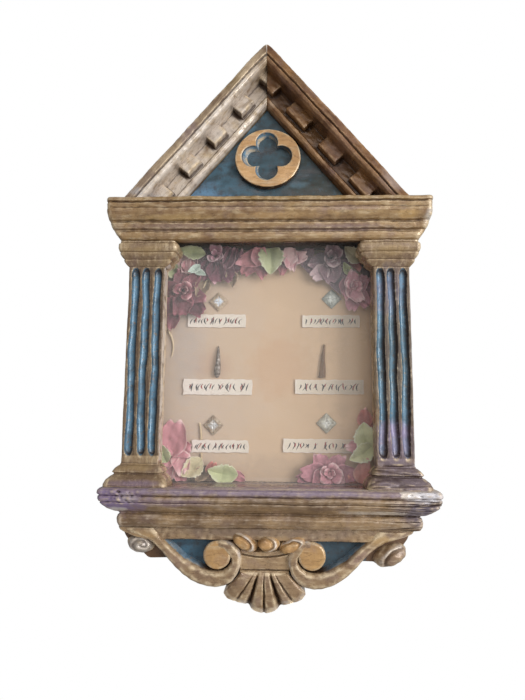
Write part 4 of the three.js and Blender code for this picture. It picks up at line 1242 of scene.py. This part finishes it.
def lifted(x, middle, width):
    """How far a strip stands off the board: nothing in its middle, more towards its two ends."""
    return 0.55 * (2 * np.abs(x - middle) / width) ** 4


def pen_strokes(name, x, z, width, height, count, seed, finish):
    """Spindles: half width is a sine along a stroke; its path leans, bends and hooks by chance."""
    dice = np.random.default_rng(seed)
    slot_width = 0.92 * width / count
    start = x - 0.46 * width + slot_width * (np.arange(count) + dice.uniform(0.2, 0.8, count))
    tall = height * dice.uniform(0.36, 0.68, count)
    along = np.linspace(0, 1, STROKE_STEPS)[None, :, None]
    round_it = np.linspace(0, 2 * np.pi, STROKE_SIDES, endpoint=False)[None, None, :]
    limits = ((-0.1, 0.6), (-1.1, 1.1), (-1.6, 1.6))
    lean, bend, hook = (dice.uniform(low, high, (count, 1, 1)) for low, high in limits)
    reach = tall[:, None, None]
    sway = lean * (along - 0.5) + 0.3 * bend * np.sin(np.pi * along)
    path_x = start[:, None, None] + reach * (sway + 0.35 * hook * np.clip(along - 0.72, 0, None))
    path_z = z + reach * (along - 0.5) * (1 - 0.2 * np.abs(hook) * along)
    thick = STROKE_HALF * np.sin(np.pi * along) ** 0.6
    px = path_x + thick * np.cos(round_it)
    pz = path_z + 0.3 * thick * np.cos(round_it)
    swell = 0.05 * np.sin(np.pi * along) * np.sin(round_it)
    points = placed(px, STRIP_FRONT + lifted(px, x, width) + 0.02 + swell, pz)
    faces = repeated(STROKE_STEPS, STROKE_SIDES, count, around=True)
    return piece(name, points, faces, [finish], "label_paper", rounds=1)


for number, (x0, z0, width, height) in enumerate(strip_places, 1):
    x, z = np.meshgrid(np.linspace(-0.5, 0.5, 60), np.linspace(-0.5, 0.5, 14))
    ragged = 0.25 * waves(placed(width * x, number * 50.0, height * z), 5, 210).reshape(x.shape)
    across = x0 + width * x + ragged * (np.abs(x) > 0.49)
    upwards = z0 + height * z + ragged * (np.abs(z) > 0.49)
    points, faces, lids = slab(across, upwards, STRIP_FRONT + lifted(across, x0, width), STRIP_BACK)
    piece(f"paper_strip_{number}", points, faces, [strip_paper], "label_paper", [f"label_{number}"],
          caps=lids)
    pen_strokes(f"dark_strokes_{number}", x0, z0, width, height, 15, 220 + number, dark_ink)
    pen_strokes(f"red_strokes_{number}", x0, z0 + 0.6, 0.94 * width, 0.9 * height, 6, 230 + number,
                red_ink)

# %% [markdown]
# Four relics are wrapped in paper and foil, folded to lozenges. Two diagonal coordinates run across
# each one; folds run from its corners to its middle, and a pinch at the middle holds them.

# %% folded packets
def foil(name, bright, dull, spot):
    """Crumpled foil and paper: two greys in small facets, with a bright or dark middle."""
    material, tree, skin = new_finish(name)
    facet = put(tree, "TexVoronoi", {"Vector": own_place(tree), "Scale": 420.0}).outputs["Distance"]
    colour = laid(tree, bright, dull, facet, 0.1, 0.7)
    colour = laid(tree, colour, dull, mottle(tree, 3, 5.0), 0.45, 0.65, 0.7)
    pinched = times(tree, felt(tree, "middle"), span(tree, mottle(tree, 1.5, 3.0), 0.3, 0.5))
    colour = over(tree, pinched, colour, spot)
    # The hollows of the folds darken as painted shade.
    colour = laid(tree, colour, GRIME_AND_SHADE, felt(tree, "relief"), -0.1, -0.6, 0.8)
    tree.links.new(colour, skin.inputs["Base Color"])
    skin.inputs["Metallic"].default_value = 0.25
    skin.inputs["Roughness"].default_value = 0.45
    dimple(tree, skin, facet, 0.3, 0.6)
    return material


packet_finishes = [
    foil("packet_beige", (214, 194, 166), (178, 154, 128), (236, 244, 254)),
    foil("packet_green_grey", (196, 198, 186), (150, 152, 142), (218, 220, 212)),
    foil("packet_brown_fold", (204, 188, 164), (150, 126, 102), (222, 222, 222)),
    foil("packet_pale", (208, 202, 184), (162, 154, 136), (232, 230, 222)),
]
packet_places = [(-37.9, 48.2), (47.0, 50.4), (-40.1, -44.3), (42.6, -42.1)]
PACKET_HALF, PACKET_EDGE = 7.5, 14.9
for number, (x0, z0) in enumerate(packet_places, 1):
    a, b = np.meshgrid(np.linspace(-1, 1, 45), np.linspace(-1, 1, 45))
    x = x0 + PACKET_HALF * (a + b) / 2
    z = z0 + PACKET_HALF * (a - b) / 2
    out = np.maximum(np.abs(a), np.abs(b))
    edge = 1 - out
    folds = np.exp(-((np.abs(a) - np.abs(b)) / 0.1) ** 2)
    crumple = waves(placed(x, number * 9.0, z), 3.2, 240).reshape(x.shape)
    plump = 0.75 * np.clip(edge / 0.35, 0, 1) ** 0.6 - 0.3 * folds
    depth = PACKET_EDGE + plump + 0.12 * crumple * np.clip(edge * 4, 0, 1)
    middle = np.pad(np.clip(2.2 - 3.6 * out, 0, 1), 1)
    points, faces, lids = slab(x, z, depth, STRIP_BACK)
    piece(f"folded_packet_{number}", points, faces, [packet_finishes[number - 1]], "packet_foil",
          [f"packet_{number}"], caps=lids, values={"middle": middle}, rounds=4)

# %% [markdown]
# Two upright relics stand in the middle of the rows: a long thorn, thick at its foot, and a split
# of wood. Both are rings carried up a line. The thorn's rings are round and shrink to a point; the
# splinter's are flat and ragged, because wood tears along its fibres.

# %% thorn and splinter
UPRIGHT_ROWS, UPRIGHT_SIDES = 60, 40


def upright(name, node, slot, z, middle_x, half_x, middle_depth, half_depth, ragged, finish, seed):
    """Rings up a line: half width and half depth change with height; a rough wave frays them."""
    turn = np.linspace(0, 2 * np.pi, UPRIGHT_SIDES, endpoint=False)
    x = middle_x[:, None] + half_x[:, None] * np.cos(turn)
    depth = middle_depth[:, None] + half_depth[:, None] * np.sin(turn)
    points = placed(x, depth, z[:, None])
    frayed = ragged * waves(points * [1, 1, 0.15], 2.0, seed)
    points[:, 0] += frayed * np.repeat(half_x, UPRIGHT_SIDES)
    return tube(name, points, x.shape, finish, slot, node, rounds=3)


thorn_finish = foil("thorn_finish", (196, 188, 180), (104, 88, 76), (220, 220, 222))
splinter_finish = bare_wood("splinter_wood", (158, 120, 82), (104, 72, 46))
rise = np.linspace(0, 1, UPRIGHT_ROWS)
girth = 2.35 * np.sqrt(np.clip(rise / 0.12, 0, 1)) * (1 - rise) ** 0.55 + 0.12
upright("wrapped_thorn", ["thorn"], "packet_foil", -9.4 + 23.9 * rise,
        -37.9 + 0.5 * np.sin(2.2 * rise), girth, 14.35 + 0.95 * girth, 0.95 * girth,
        0.08, thorn_finish, 251)
half = 2.6 - 1.95 * rise
upright("wood_splinter", ["splinter"], "relic_wood", -8.9 + 24.5 * rise, 39.4 + 1.85 * rise, half,
        15.7 - 0.2 * rise, 1.35 - 0.4 * rise, 0.22, splinter_finish, 255)

# %% [markdown]
# A few dry stalks of the flowers lie bare on the paper. Each is the same upright form, very thin,
# and its middle line is a bow: two ends, and a third point that pulls the line towards itself.

# %% dry stalks
def bow(first, pull, last):
    """The ends and the pull, weighed by the squares of two shares and by twice their product."""
    return (1 - rise) ** 2 * first + 2 * rise * (1 - rise) * pull + rise ** 2 * last


straw = bare_wood("straw", (240, 222, 188), (206, 178, 138))
stalks = [  # name, z of the ends, x of the bow, half thickness at the ends, depth
    ("left_stalk", (6.0, 27.0), (-72.6, -69.0, -76.4), (0.35, 0.95), 14.9),
    ("foot_stalk", (-54.6, -42.6), (-48.7, -48.9, -50.2), (0.95, 0.7), 14.9),
    ("foot_stalk_end", (-72.5, -64.2), (-47.6, -48.4, -48.3), (0.6, 0.8), 14.9),
    ("rose_stalk", (50.8, 64.5), (-51.4, -49.6, -46.8), (0.5, 0.9), 17.4),
]
for name, (foot, top), line, (low, high), depth in stalks:
    half = low + (high - low) * rise
    upright(name, (), "leaf_fabric", foot + (top - foot) * rise, bow(*line), half,
            depth + 0 * rise, 0.8 * half, 0.1, straw, 261)

# %% [markdown]
# The flowers are cut and pressed from dyed cloth. The heart of a rose is a whorl of petals: each
# one rises, leans outwards and rolls over at its rim. Its lean grows along its length, and adding
# up the sines and cosines of the lean gives the radius and the height. Round the axis it spans an
# angle that narrows to the foot. The stored rim value lets the dye be dark in the heart, partly as
# painted shade, and pale at the rims, partly faded dye and partly painted highlight. Each line below
# notes the place of a heart, its radius and height, and how many petals its whorls have.

# %% cloth flowers
ROOM_DEPTHS, ROOM_SIDE = (15.0, 31.2), 77.6
PETAL_CLOTH, LEAF_CLOTH = 0.22, 0.25
HEART_ROWS, HEART_COLUMNS = 14, 15
HEART_FOOT = 17.0


def dyed_cloth(name, heart, body, rim):
    """Cloth darkest at the foot of a petal, partly as painted shade, and palest at its rim, partly
    faded and partly as a painted highlight; with a fine weave.
    """
    material, tree, skin = new_finish(name)
    cloud = mottle(tree, 5.5, 5.0)
    weave = mottle(tree, 0.7, 2.0, shift=3.0)
    far = reckon(tree, "MULTIPLY_ADD", cloud, 0.6, felt(tree, "rim"))
    colour = laid(tree, heart, body, far, 0.35, 0.8)
    colour = laid(tree, colour, rim, far, 0.95, 1.3, 0.9)
    colour = laid(tree, colour, heart, weave, 0.5, 0.7, 0.25)
    tree.links.new(colour, skin.inputs["Base Color"])
    skin.inputs["Roughness"].default_value = 0.75
    skin.inputs["Sheen Weight"].default_value = 0.15
    dimple(tree, skin, weave, 0.12, 0.5)
    return material


def cut_cloth(made, thick):
    """Gives cut cloth its two faces and notes the strip that it came from: as wide as the longest
    cut, and so long that the area of all the cuts is seven tenths of it."""
    used = np.empty(len(made.data.polygons))
    made.data.polygons.foreach_get("area", used)
    shell = made.modifiers.new("cloth", "SOLIDIFY")
    shell.thickness = thick * MM
    shell.offset = 0.0


def in_room(points):
    """Keeps the cloth clear of the walls of the compartment, the board and the pane."""
    low = [-ROOM_SIDE, -ROOM_DEPTHS[1], ROOM_FOOT + 0.3]
    high = [ROOM_SIDE, -ROOM_DEPTHS[0], ROOM_TOP - 0.3]
    return np.clip(points, low, high)


def rose_heart(name, node, x, z, radius, height, whorls, finish, seed, tilt=(0, 0)):
    """Whorls of petals from the heart outwards; each leans further and its petals are longer."""
    dice = np.random.default_rng(seed)
    whorl = np.repeat(np.arange(len(whorls)), whorls)
    count = len(whorl)
    outward = ((whorl + 0.4) / len(whorls))[:, None, None]
    start = (2.4 * np.arange(count) + dice.uniform(-0.7, 0.7, count))[:, None, None]
    chance = dice.uniform(-1, 1, (4, count, 1, 1))
    along = np.linspace(0, 1, HEART_ROWS)[None, :, None]
    across = np.linspace(-1, 1, HEART_COLUMNS)[None, None, :]
    far = along * (1 - 0.3 * across ** 4 - 0.12 * across ** 2 * chance[0])
    lean = (0.15 + 0.9 * outward) * (0.3 + 0.7 * far) + (0.8 + 0.7 * chance[1]) * far ** 3
    step = (0.62 + 0.5 * outward) * (1 + 0.22 * chance[2]) * np.diff(far, axis=1, prepend=0.0)
    reach = 0.08 + 0.1 * outward + np.cumsum(np.sin(lean) * step, axis=1)
    rise = np.cumsum(np.cos(lean) * step, axis=1)
    turn = start + across * (1.35 - 0.55 * outward) * np.sin(np.pi * (0.14 + 0.66 * far)) ** 0.7
    rise = rise + 0.1 * far ** 2 * np.sin(5 * across + 6 * chance[3]) - 0.25 * outward
    reach = reach / reach.max() * radius
    rise = (rise - rise.min()) / (rise.max() - rise.min()) * height
    px = x + reach * np.cos(turn) + tilt[0] * rise
    pz = z + reach * np.sin(turn) + tilt[1] * rise
    faces = repeated(HEART_ROWS, HEART_COLUMNS, count)
    rim = 0.2 + 0.55 * far + 0.4 * far ** 10 + 0 * turn
    points = in_room(placed(px, HEART_FOOT + rise, pz))
    made = piece(name, points, faces, [finish], "rose_fabric", node, rounds=2, values={"rim": rim})
    cut_cloth(made, PETAL_CLOTH)


burgundy = dyed_cloth("burgundy_cloth", (62, 30, 42), (122, 68, 82), (216, 172, 178))
pale_heart = dyed_cloth("pale_heart_cloth", (112, 62, 80), (192, 138, 152), (238, 212, 214))
old_rose = dyed_cloth("old_rose_cloth", (86, 46, 54), (156, 92, 102), (230, 184, 184))
dusky = dyed_cloth("dusky_cloth", (96, 72, 80), (152, 116, 124), (218, 192, 192))
mauve = dyed_cloth("mauve_cloth", (128, 76, 86), (204, 140, 150), (236, 200, 200))
rose_heart("burgundy_heart", ["rose_top_left"], -40, 81.5, 8.5, 12.0, (3, 4), pale_heart, 301)
rose_heart("left_heart", ["rose_left"], -65, 56.0, 8.0, 11.5, (3, 4), old_rose, 302, (0.2, -0.2))
rose_heart("dusky_heart", ["rose_top_right"], 46.5, 80.5, 9.0, 12.0, (3, 5), dusky, 303)
rose_heart("right_heart", ["rose_right"], 62.5, 58.0, 6.5, 12.0, (3, 3), mauve, 304)
rose_heart("foot_heart", ["rose_foot_right"], 44.0, -77.0, 9.0, 11.0, (3, 5), mauve, 305)

# %% [markdown]
# Round the hearts most petals lie open and overlap like tiles. A petal swells from a narrow foot to
# a broad rim. It is cupped across, lifts along its length and is ruffled at its rim. Each row below
# notes one petal: the place of its middle, half its length and half its width, which way it points
# in degrees, how far it lies in front of the wall, how much it lifts, and how light its dye is.

# %% loose petals
PETAL_ROWS, PETAL_COLUMNS = 18, 19


def petals(name, node, finish, slot, rows, seed):
    """Half width: a quarter of a sine from the narrow foot, then nearly even, with rounded corners.
    Height: lift times the square of the way along, plus the cup, a twist and the ruffled rim."""
    columns = np.array(rows, dtype=float).T[:, :, None, None]
    x, z, half_long, half_wide, turn, depth, lift, tone = columns
    count = len(rows)
    chance = np.random.default_rng(seed).uniform(-1, 1, (5, count, 1, 1))
    along = np.linspace(0, 1, PETAL_ROWS)[None, :, None]
    across = np.linspace(-1, 1, PETAL_COLUMNS)[None, None, :]
    ragged = 0.06 * np.sin(4 * across + 5 * chance[0]) + 0.04 * np.sin(9 * across + 4 * chance[1])
    far = along * (1 - 0.3 * across ** 4 - 0.14 * across ** 2 + ragged * along)
    opening = np.sin(np.pi / 2 * np.clip((along + 0.1) / 0.75, 0, 1))
    closing = 1 - 0.9 * np.clip(along - 0.7, 0, None) ** 1.5
    a = 0.96 * across * half_wide * opening * closing
    b = half_long * (1.95 * far - 1)
    way = np.radians(turn) + 0.15 * chance[2]
    px = x + b * np.cos(way) - a * np.sin(way)
    pz = z + b * np.sin(way) + a * np.cos(way)
    cup = 0.22 * half_wide * across ** 2 * (1 + 0.8 * chance[3])
    twist = 0.5 * np.sin(3 * across + 6 * chance[4]) * far
    droop = 5.0 * np.clip(far - 0.78, 0, None) ** 2 * lift
    ruffle = 0.8 * np.sin(6 * across + 7 * chance[1]) + 0.45 * np.sin(11 * across + 9 * chance[0])
    points = placed(px, depth + lift * far ** 2 + cup + twist - droop + ruffle * far ** 3, pz)
    points[:, 1] -= 0.35 * waves(points, 5, seed)
    rim = tone + 0.25 * far + 0.55 * np.maximum(np.abs(across) ** 10, np.clip(far, 0, 1) ** 12)
    faces = repeated(PETAL_ROWS, PETAL_COLUMNS, count)
    made = piece(name, in_room(points), faces, [finish], slot, node, rounds=2,
                 values={"rim": rim + 0 * px})
    cut_cloth(made, PETAL_CLOTH)


faded_pink = dyed_cloth("faded_pink_cloth", (166, 104, 114), (214, 146, 154), (238, 204, 200))
salmon = dyed_cloth("salmon_cloth", (112, 64, 68), (184, 116, 120), (236, 166, 172))
# The coral is made lighter than the cloth, as painted light against the shade of the case's right
# side.
coral = dyed_cloth("coral_cloth", (136, 72, 68), (222, 142, 132), (240, 190, 178))
petals("burgundy_petals", (), burgundy, "rose_fabric", [
    (-50.2, 78.7, 7.5, 6.0, 100, 19.5, 4.0, 0.05), (-33.5, 82.0, 8.0, 5.5, 60, 20.0, 4.5, 0.0),
    (-29.5, 80.5, 9.0, 5.0, 75, 19.5, 4.0, 0.4), (-25.0, 78.5, 10.5, 6.0, 80, 17.5, 3.0, 0.2),
    (-39.5, 69.5, 9.0, 8.0, 270, 18.5, 3.5, 0.2), (-46.5, 71.5, 8.5, 6.5, 235, 18.5, 3.0, 0.1),
    (-32.0, 70.0, 8.5, 7.0, 300, 18.0, 3.5, 0.15), (-45.0, 86.0, 7.5, 5.5, 120, 18.0, 3.0, 0.0),
    (-34.0, 86.5, 8.5, 5.5, 70, 17.0, 3.0, 0.1),
], 331)
petals("left_rose_petals", (), old_rose, "rose_fabric", [
    (-66.0, 65.0, 8.0, 6.5, 110, 18.0, 3.5, 0.15), (-58.0, 62.0, 8.5, 6.5, 50, 18.0, 3.0, 0.2),
    (-73.0, 57.0, 8.5, 6.5, 170, 17.5, 3.0, 0.05), (-55.0, 52.0, 9.0, 7.5, 340, 18.0, 3.5, 0.15),
    (-64.5, 45.0, 10.0, 8.5, 265, 18.5, 4.0, 0.05), (-54.5, 43.0, 8.5, 7.5, 310, 17.5, 3.0, 0.0),
    (-73.0, 43.5, 8.5, 7.0, 215, 17.5, 3.0, 0.05), (-71.5, 33.0, 7.5, 5.0, 255, 16.5, 2.0, 0.15),
], 332)
petals("dusky_petals", (), dusky, "rose_fabric", [
    (46.0, 69.5, 9.0, 8.5, 270, 18.0, 3.0, 0.15), (55.0, 72.5, 9.0, 7.5, 320, 17.5, 3.0, 0.1),
    (37.5, 78.0, 8.5, 7.0, 190, 18.0, 3.0, 0.1), (56.0, 81.5, 8.5, 6.5, 10, 17.0, 3.0, 0.1),
    (38.0, 69.0, 8.0, 6.5, 215, 18.5, 3.5, 0.7), (47.0, 86.5, 7.5, 5.5, 90, 17.0, 2.5, 0.05),
    (50.5, 62.0, 8.0, 6.0, 290, 16.5, 2.0, 0.0), (28.5, 83.5, 8.0, 6.0, 60, 16.5, 2.0, 0.1),
    (30.5, 76.0, 8.0, 6.0, 300, 16.5, 2.0, 0.1), (73.0, 70.0, 8.0, 5.0, 280, 16.5, 2.0, 0.0),
], 333)
petals("right_rose_petals", (), mauve, "rose_fabric", [
    (61.5, 63.0, 8.0, 5.5, 75, 19.5, 4.0, 0.45), (63.5, 52.5, 8.5, 6.0, 300, 20.0, 4.5, 0.6),
    (57.5, 57.0, 8.5, 5.5, 265, 18.5, 3.5, 0.0), (68.0, 60.5, 8.5, 6.0, 60, 18.5, 3.0, 0.2),
    (69.0, 49.5, 8.5, 6.0, 310, 18.0, 3.0, 0.2), (62.0, 46.5, 7.0, 6.0, 265, 17.5, 3.0, 0.25),
    (72.5, 55.5, 7.5, 5.5, 0, 17.0, 2.5, 0.0),
], 334)
petals("foot_rose_petals", (), mauve, "rose_fabric", [
    (33.0, -77.0, 10.5, 7.5, 175, 18.0, 3.5, 0.15), (38.5, -71.5, 9.0, 7.5, 110, 18.0, 3.5, 0.25),
    (48.5, -71.5, 9.0, 7.0, 65, 18.0, 3.5, 0.2), (55.0, -77.5, 8.5, 7.0, 0, 18.0, 3.0, 0.2),
    (28.0, -80.5, 8.0, 5.5, 190, 17.0, 3.0, 0.05), (49.0, -79.5, 7.5, 5.5, 300, 20.0, 3.5, 0.6),
    (37.0, -80.5, 7.5, 5.5, 250, 19.0, 3.0, 0.35),
], 335)
# Painted light: these tones are raised to lift the shade under the cornice.
petals("top_left_pink", ["pink_top_left"], faded_pink, "petal_fabric", [
    (-64.0, 78.5, 8.0, 5.5, 95, 18.5, 3.5, 0.75), (-58.0, 78.0, 7.5, 5.0, 80, 18.0, 3.5, 0.65),
    (-61.0, 74.0, 6.5, 6.0, 260, 18.5, 3.0, 0.6), (-68.0, 79.0, 6.5, 4.5, 120, 17.5, 3.0, 0.8),
], 336)
# Painted light: the high tones here lift the shade under the cornice.
petals("top_petals", ["pink_top"], salmon, "petal_fabric", [
    (-14.5, 80.0, 10.5, 7.5, 205, 17.5, 3.0, 0.5), (-7.5, 83.0, 8.5, 6.5, 80, 18.5, 3.5, 0.9),
    (-5.5, 73.5, 9.0, 6.5, 285, 18.0, 3.0, 0.0), (-14.5, 74.0, 9.0, 6.0, 235, 17.5, 3.0, 0.1),
    (10.5, 74.5, 7.0, 5.0, 265, 17.0, 2.5, 0.05),
], 337)
# Painted light: these tones are raised to lift the shade under the cornice.
petals("top_middle_pink", ["pink_top_middle"], faded_pink, "petal_fabric", [
    (15.5, 83.0, 8.0, 6.5, 80, 18.0, 3.5, 0.8), (22.5, 81.5, 7.0, 5.5, 20, 17.5, 3.0, 0.7),
    (16.5, 77.0, 6.5, 5.5, 270, 17.5, 3.0, 0.6),
], 338)
petals("low_left_petals", ["petals_low_left"], faded_pink, "petal_fabric", [
    (-68.0, -53.5, 14.0, 11.5, 80, 19.5, 5.0, 0.3), (-63.0, -60.5, 9.5, 8.0, 345, 18.0, 3.5, 0.35),
    (-71.0, -66.5, 9.5, 8.0, 250, 18.5, 4.0, 0.35), (-62.0, -70.5, 9.5, 7.5, 290, 19.5, 4.0, 0.55),
], 339)
petals("foot_left_petals", ["petals_foot_left"], faded_pink, "petal_fabric", [
    (-71.0, -77.5, 8.5, 6.5, 250, 18.0, 3.5, 0.55), (-62.0, -79.5, 7.5, 6.0, 290, 17.5, 3.0, 0.5),
    (-20.5, -80.5, 5.5, 4.0, 330, 17.0, 2.5, 0.2),
], 340)
petals("foot_right_petals", ["petals_foot_right"], coral, "petal_fabric", [
    (67.5, -75.0, 9.5, 7.0, 85, 20.0, 3.5, 0.7), (63.0, -80.0, 8.0, 6.0, 200, 17.5, 3.0, 0.5),
    (73.0, -79.5, 7.0, 5.5, 330, 17.0, 3.0, 0.6), (-40.0, -75.0, 5.5, 4.5, 60, 18.0, 3.0, 0.2),
    (64.5, 77.0, 7.0, 5.0, 300, 17.5, 3.0, 0.05),
], 341)
petals("low_right_petals", ["petals_low_right"], faded_pink, "petal_fabric", [
    (62.0, -58.5, 6.5, 5.5, 180, 19.0, 3.5, 0.5), (66.5, -61.5, 6.0, 5.0, 300, 18.0, 3.0, 0.3),
], 342)
petals("right_petals", ["petals_right"], coral, "petal_fabric", [
    (69.5, -38.0, 7.0, 6.0, 100, 18.0, 3.5, 0.3), (73.0, -43.5, 6.5, 5.0, 280, 17.0, 3.0, 0.2),
], 343)

# %% [markdown]
# Leaves are cut from green and cream cloth and creased down the middle. Along the leaf the half
# width swells and closes to a point; across it the two halves rise from the crease, and the tip
# curls up. Each line below notes a leaf: the place of its middle, half its length and half its
# width, its turn, its cloth, how far it lies in front of the wall and how much its tip curls.

# %% cloth leaves
LEAF_ROWS, LEAF_COLUMNS = 30, 15


def leaf(name, node, x, z, half_long, half_wide, turn, finish, depth, curl, seed):
    """Half width: a power of one less the square of the place along it, fuller near the stalk."""
    along = np.linspace(-1, 1, LEAF_ROWS)[:, None]
    across = np.linspace(-1, 1, LEAF_COLUMNS)[None, :]
    toothed = 1 + 0.06 * np.sin(17 * along + seed) + 0.05 * np.sin(29 * along + 2 * seed)
    wide = 1.15 * half_wide * (1 - along ** 2) ** 0.8 * (1 - 0.35 * along) * toothed
    a = across * wide + 0.12 * half_long * along ** 2
    b = along * half_long + 0 * across
    out = np.abs(across)
    veins = 0.18 * np.cos(18 * along - 7 * out) * out
    rise = depth + 0.5 * wide * out + curl * (0.5 + 0.5 * along) ** 2 + veins * (1 - along ** 2)
    px = x + a * math.cos(turn) - b * math.sin(turn)
    pz = z + a * math.sin(turn) + b * math.cos(turn)
    points = placed(px, rise, pz)
    points[:, 1] -= 0.5 * waves(points, 9, seed)
    rim = 0.25 + 0.4 * out + 0.45 * out ** 10 + 0.2 * (along > 0)
    faces = squares(LEAF_ROWS, LEAF_COLUMNS)
    made = piece(name, in_room(points), faces, [finish], "leaf_fabric", node, rounds=2,
                 values={"rim": rim})
    cut_cloth(made, LEAF_CLOTH)


green = dyed_cloth("green_cloth", (104, 108, 70), (160, 164, 112), (204, 204, 160))
pale_green = dyed_cloth("pale_green_cloth", (146, 152, 110), (196, 200, 152), (226, 226, 192))
cream = dyed_cloth("cream_cloth", (158, 146, 112), (210, 196, 158), (236, 228, 202))
brown_green = dyed_cloth("brown_green_cloth", (84, 70, 54), (134, 112, 90), (206, 176, 148))
# A lighter copy of the pale green, as painted light, for leaves in the shade of the case's right
# side.
lit_green_copy = dyed_cloth("green_cloth_painted_light", (188, 190, 142), (226, 226, 178), (244, 242, 216))
mint = dyed_cloth("mint_cloth", (130, 146, 134), (196, 212, 198), (232, 240, 230))
leaf("top_left_leaf", ["leaf_top_left"], -57.5, 83.4, 10, 4.6, 1.4, pale_green, 23.0, 3, 351)
leaf("left_leaf", ["leaf_left"], -72.5, 71.5, 7.0, 5.0, 0.9, pale_green, 17, 3, 352)
leaf("top_leaf", ["leaf_top"], 1.8, 79.0, 12, 8.0, 3.2, pale_green, 18.5, 4, 353)
leaf("top_right_leaf", ["leaf_top_right"], 62.0, 81.5, 8.5, 5.0, 0.9, cream, 22, 3, 354)
leaf("low_left_leaf", ["leaf_low_left"], -74.2, -64.5, 7.0, 4.6, 0.3, pale_green, 24.5, 3, 355)
leaf("cream_leaf", ["leaf_cream"], -53.7, -75.0, 9.4, 6.0, 2.3, cream, 18, 4, 356)
leaf("foot_leaf", ["leaf_foot"], -32.0, -78.5, 11.0, 6.2, 1.4, pale_green, 21.0, 3, 357)
leaf("right_leaf", ["leaf_right"], 68.8, -50.5, 9.5, 7.0, 0.2, lit_green_copy, 19, 4, 358)
leaf("low_right_leaf", (), 66.8, -63.5, 10.0, 5.6, 2.1, lit_green_copy, 20.5, 4, 359)
leaf("burgundy_leaf", (), -27.6, 65.0, 7.0, 4.0, 3.3, brown_green, 17, 3, 360)
leaf("left_rose_leaf", (), -50.0, 58.0, 8.5, 5.0, 2.7, brown_green, 16.8, 3, 361)
leaf("mint_leaf", (), -55.5, 71.0, 5.5, 2.6, 2.2, mint, 22, 3, 362)
leaf("mint_leaf_tip", (), -51.0, 68.5, 5.0, 2.2, 4.3, mint, 22, 3, 363)
leaf("foot_brown_leaf", (), -47.0, -79.0, 6.5, 4.4, 2.6, brown_green, 17.5, 3, 364)
leaf("right_rose_leaf", (), 58.0, 71.5, 5.5, 2.8, 0.6, green, 20, 3, 365)

# %% [markdown]
# One thin old pane closes the front of the compartment. It is almost invisible: plain values make
# it clear, smooth and very slightly grey, and its own measured shape stays.

# %% pane
clear_glass, tree, skin = new_finish("clear_glass")
skin.inputs["Base Color"].default_value = (0.7, 0.73, 0.72, 1.0)
skin.inputs["Roughness"].default_value = 0.08
skin.inputs["Alpha"].default_value = 0.07
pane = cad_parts["glass_pane"]
pane.material_slots[0].material = clear_glass
print("pane:", pane.name)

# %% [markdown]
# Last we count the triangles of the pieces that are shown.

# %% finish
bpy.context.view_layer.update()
meshes = [made.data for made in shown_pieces() if made.type == "MESH"]
triangles = sum(len(face.vertices) - 2 for mesh in meshes for face in mesh.polygons)
print("triangles before thickening:", triangles)
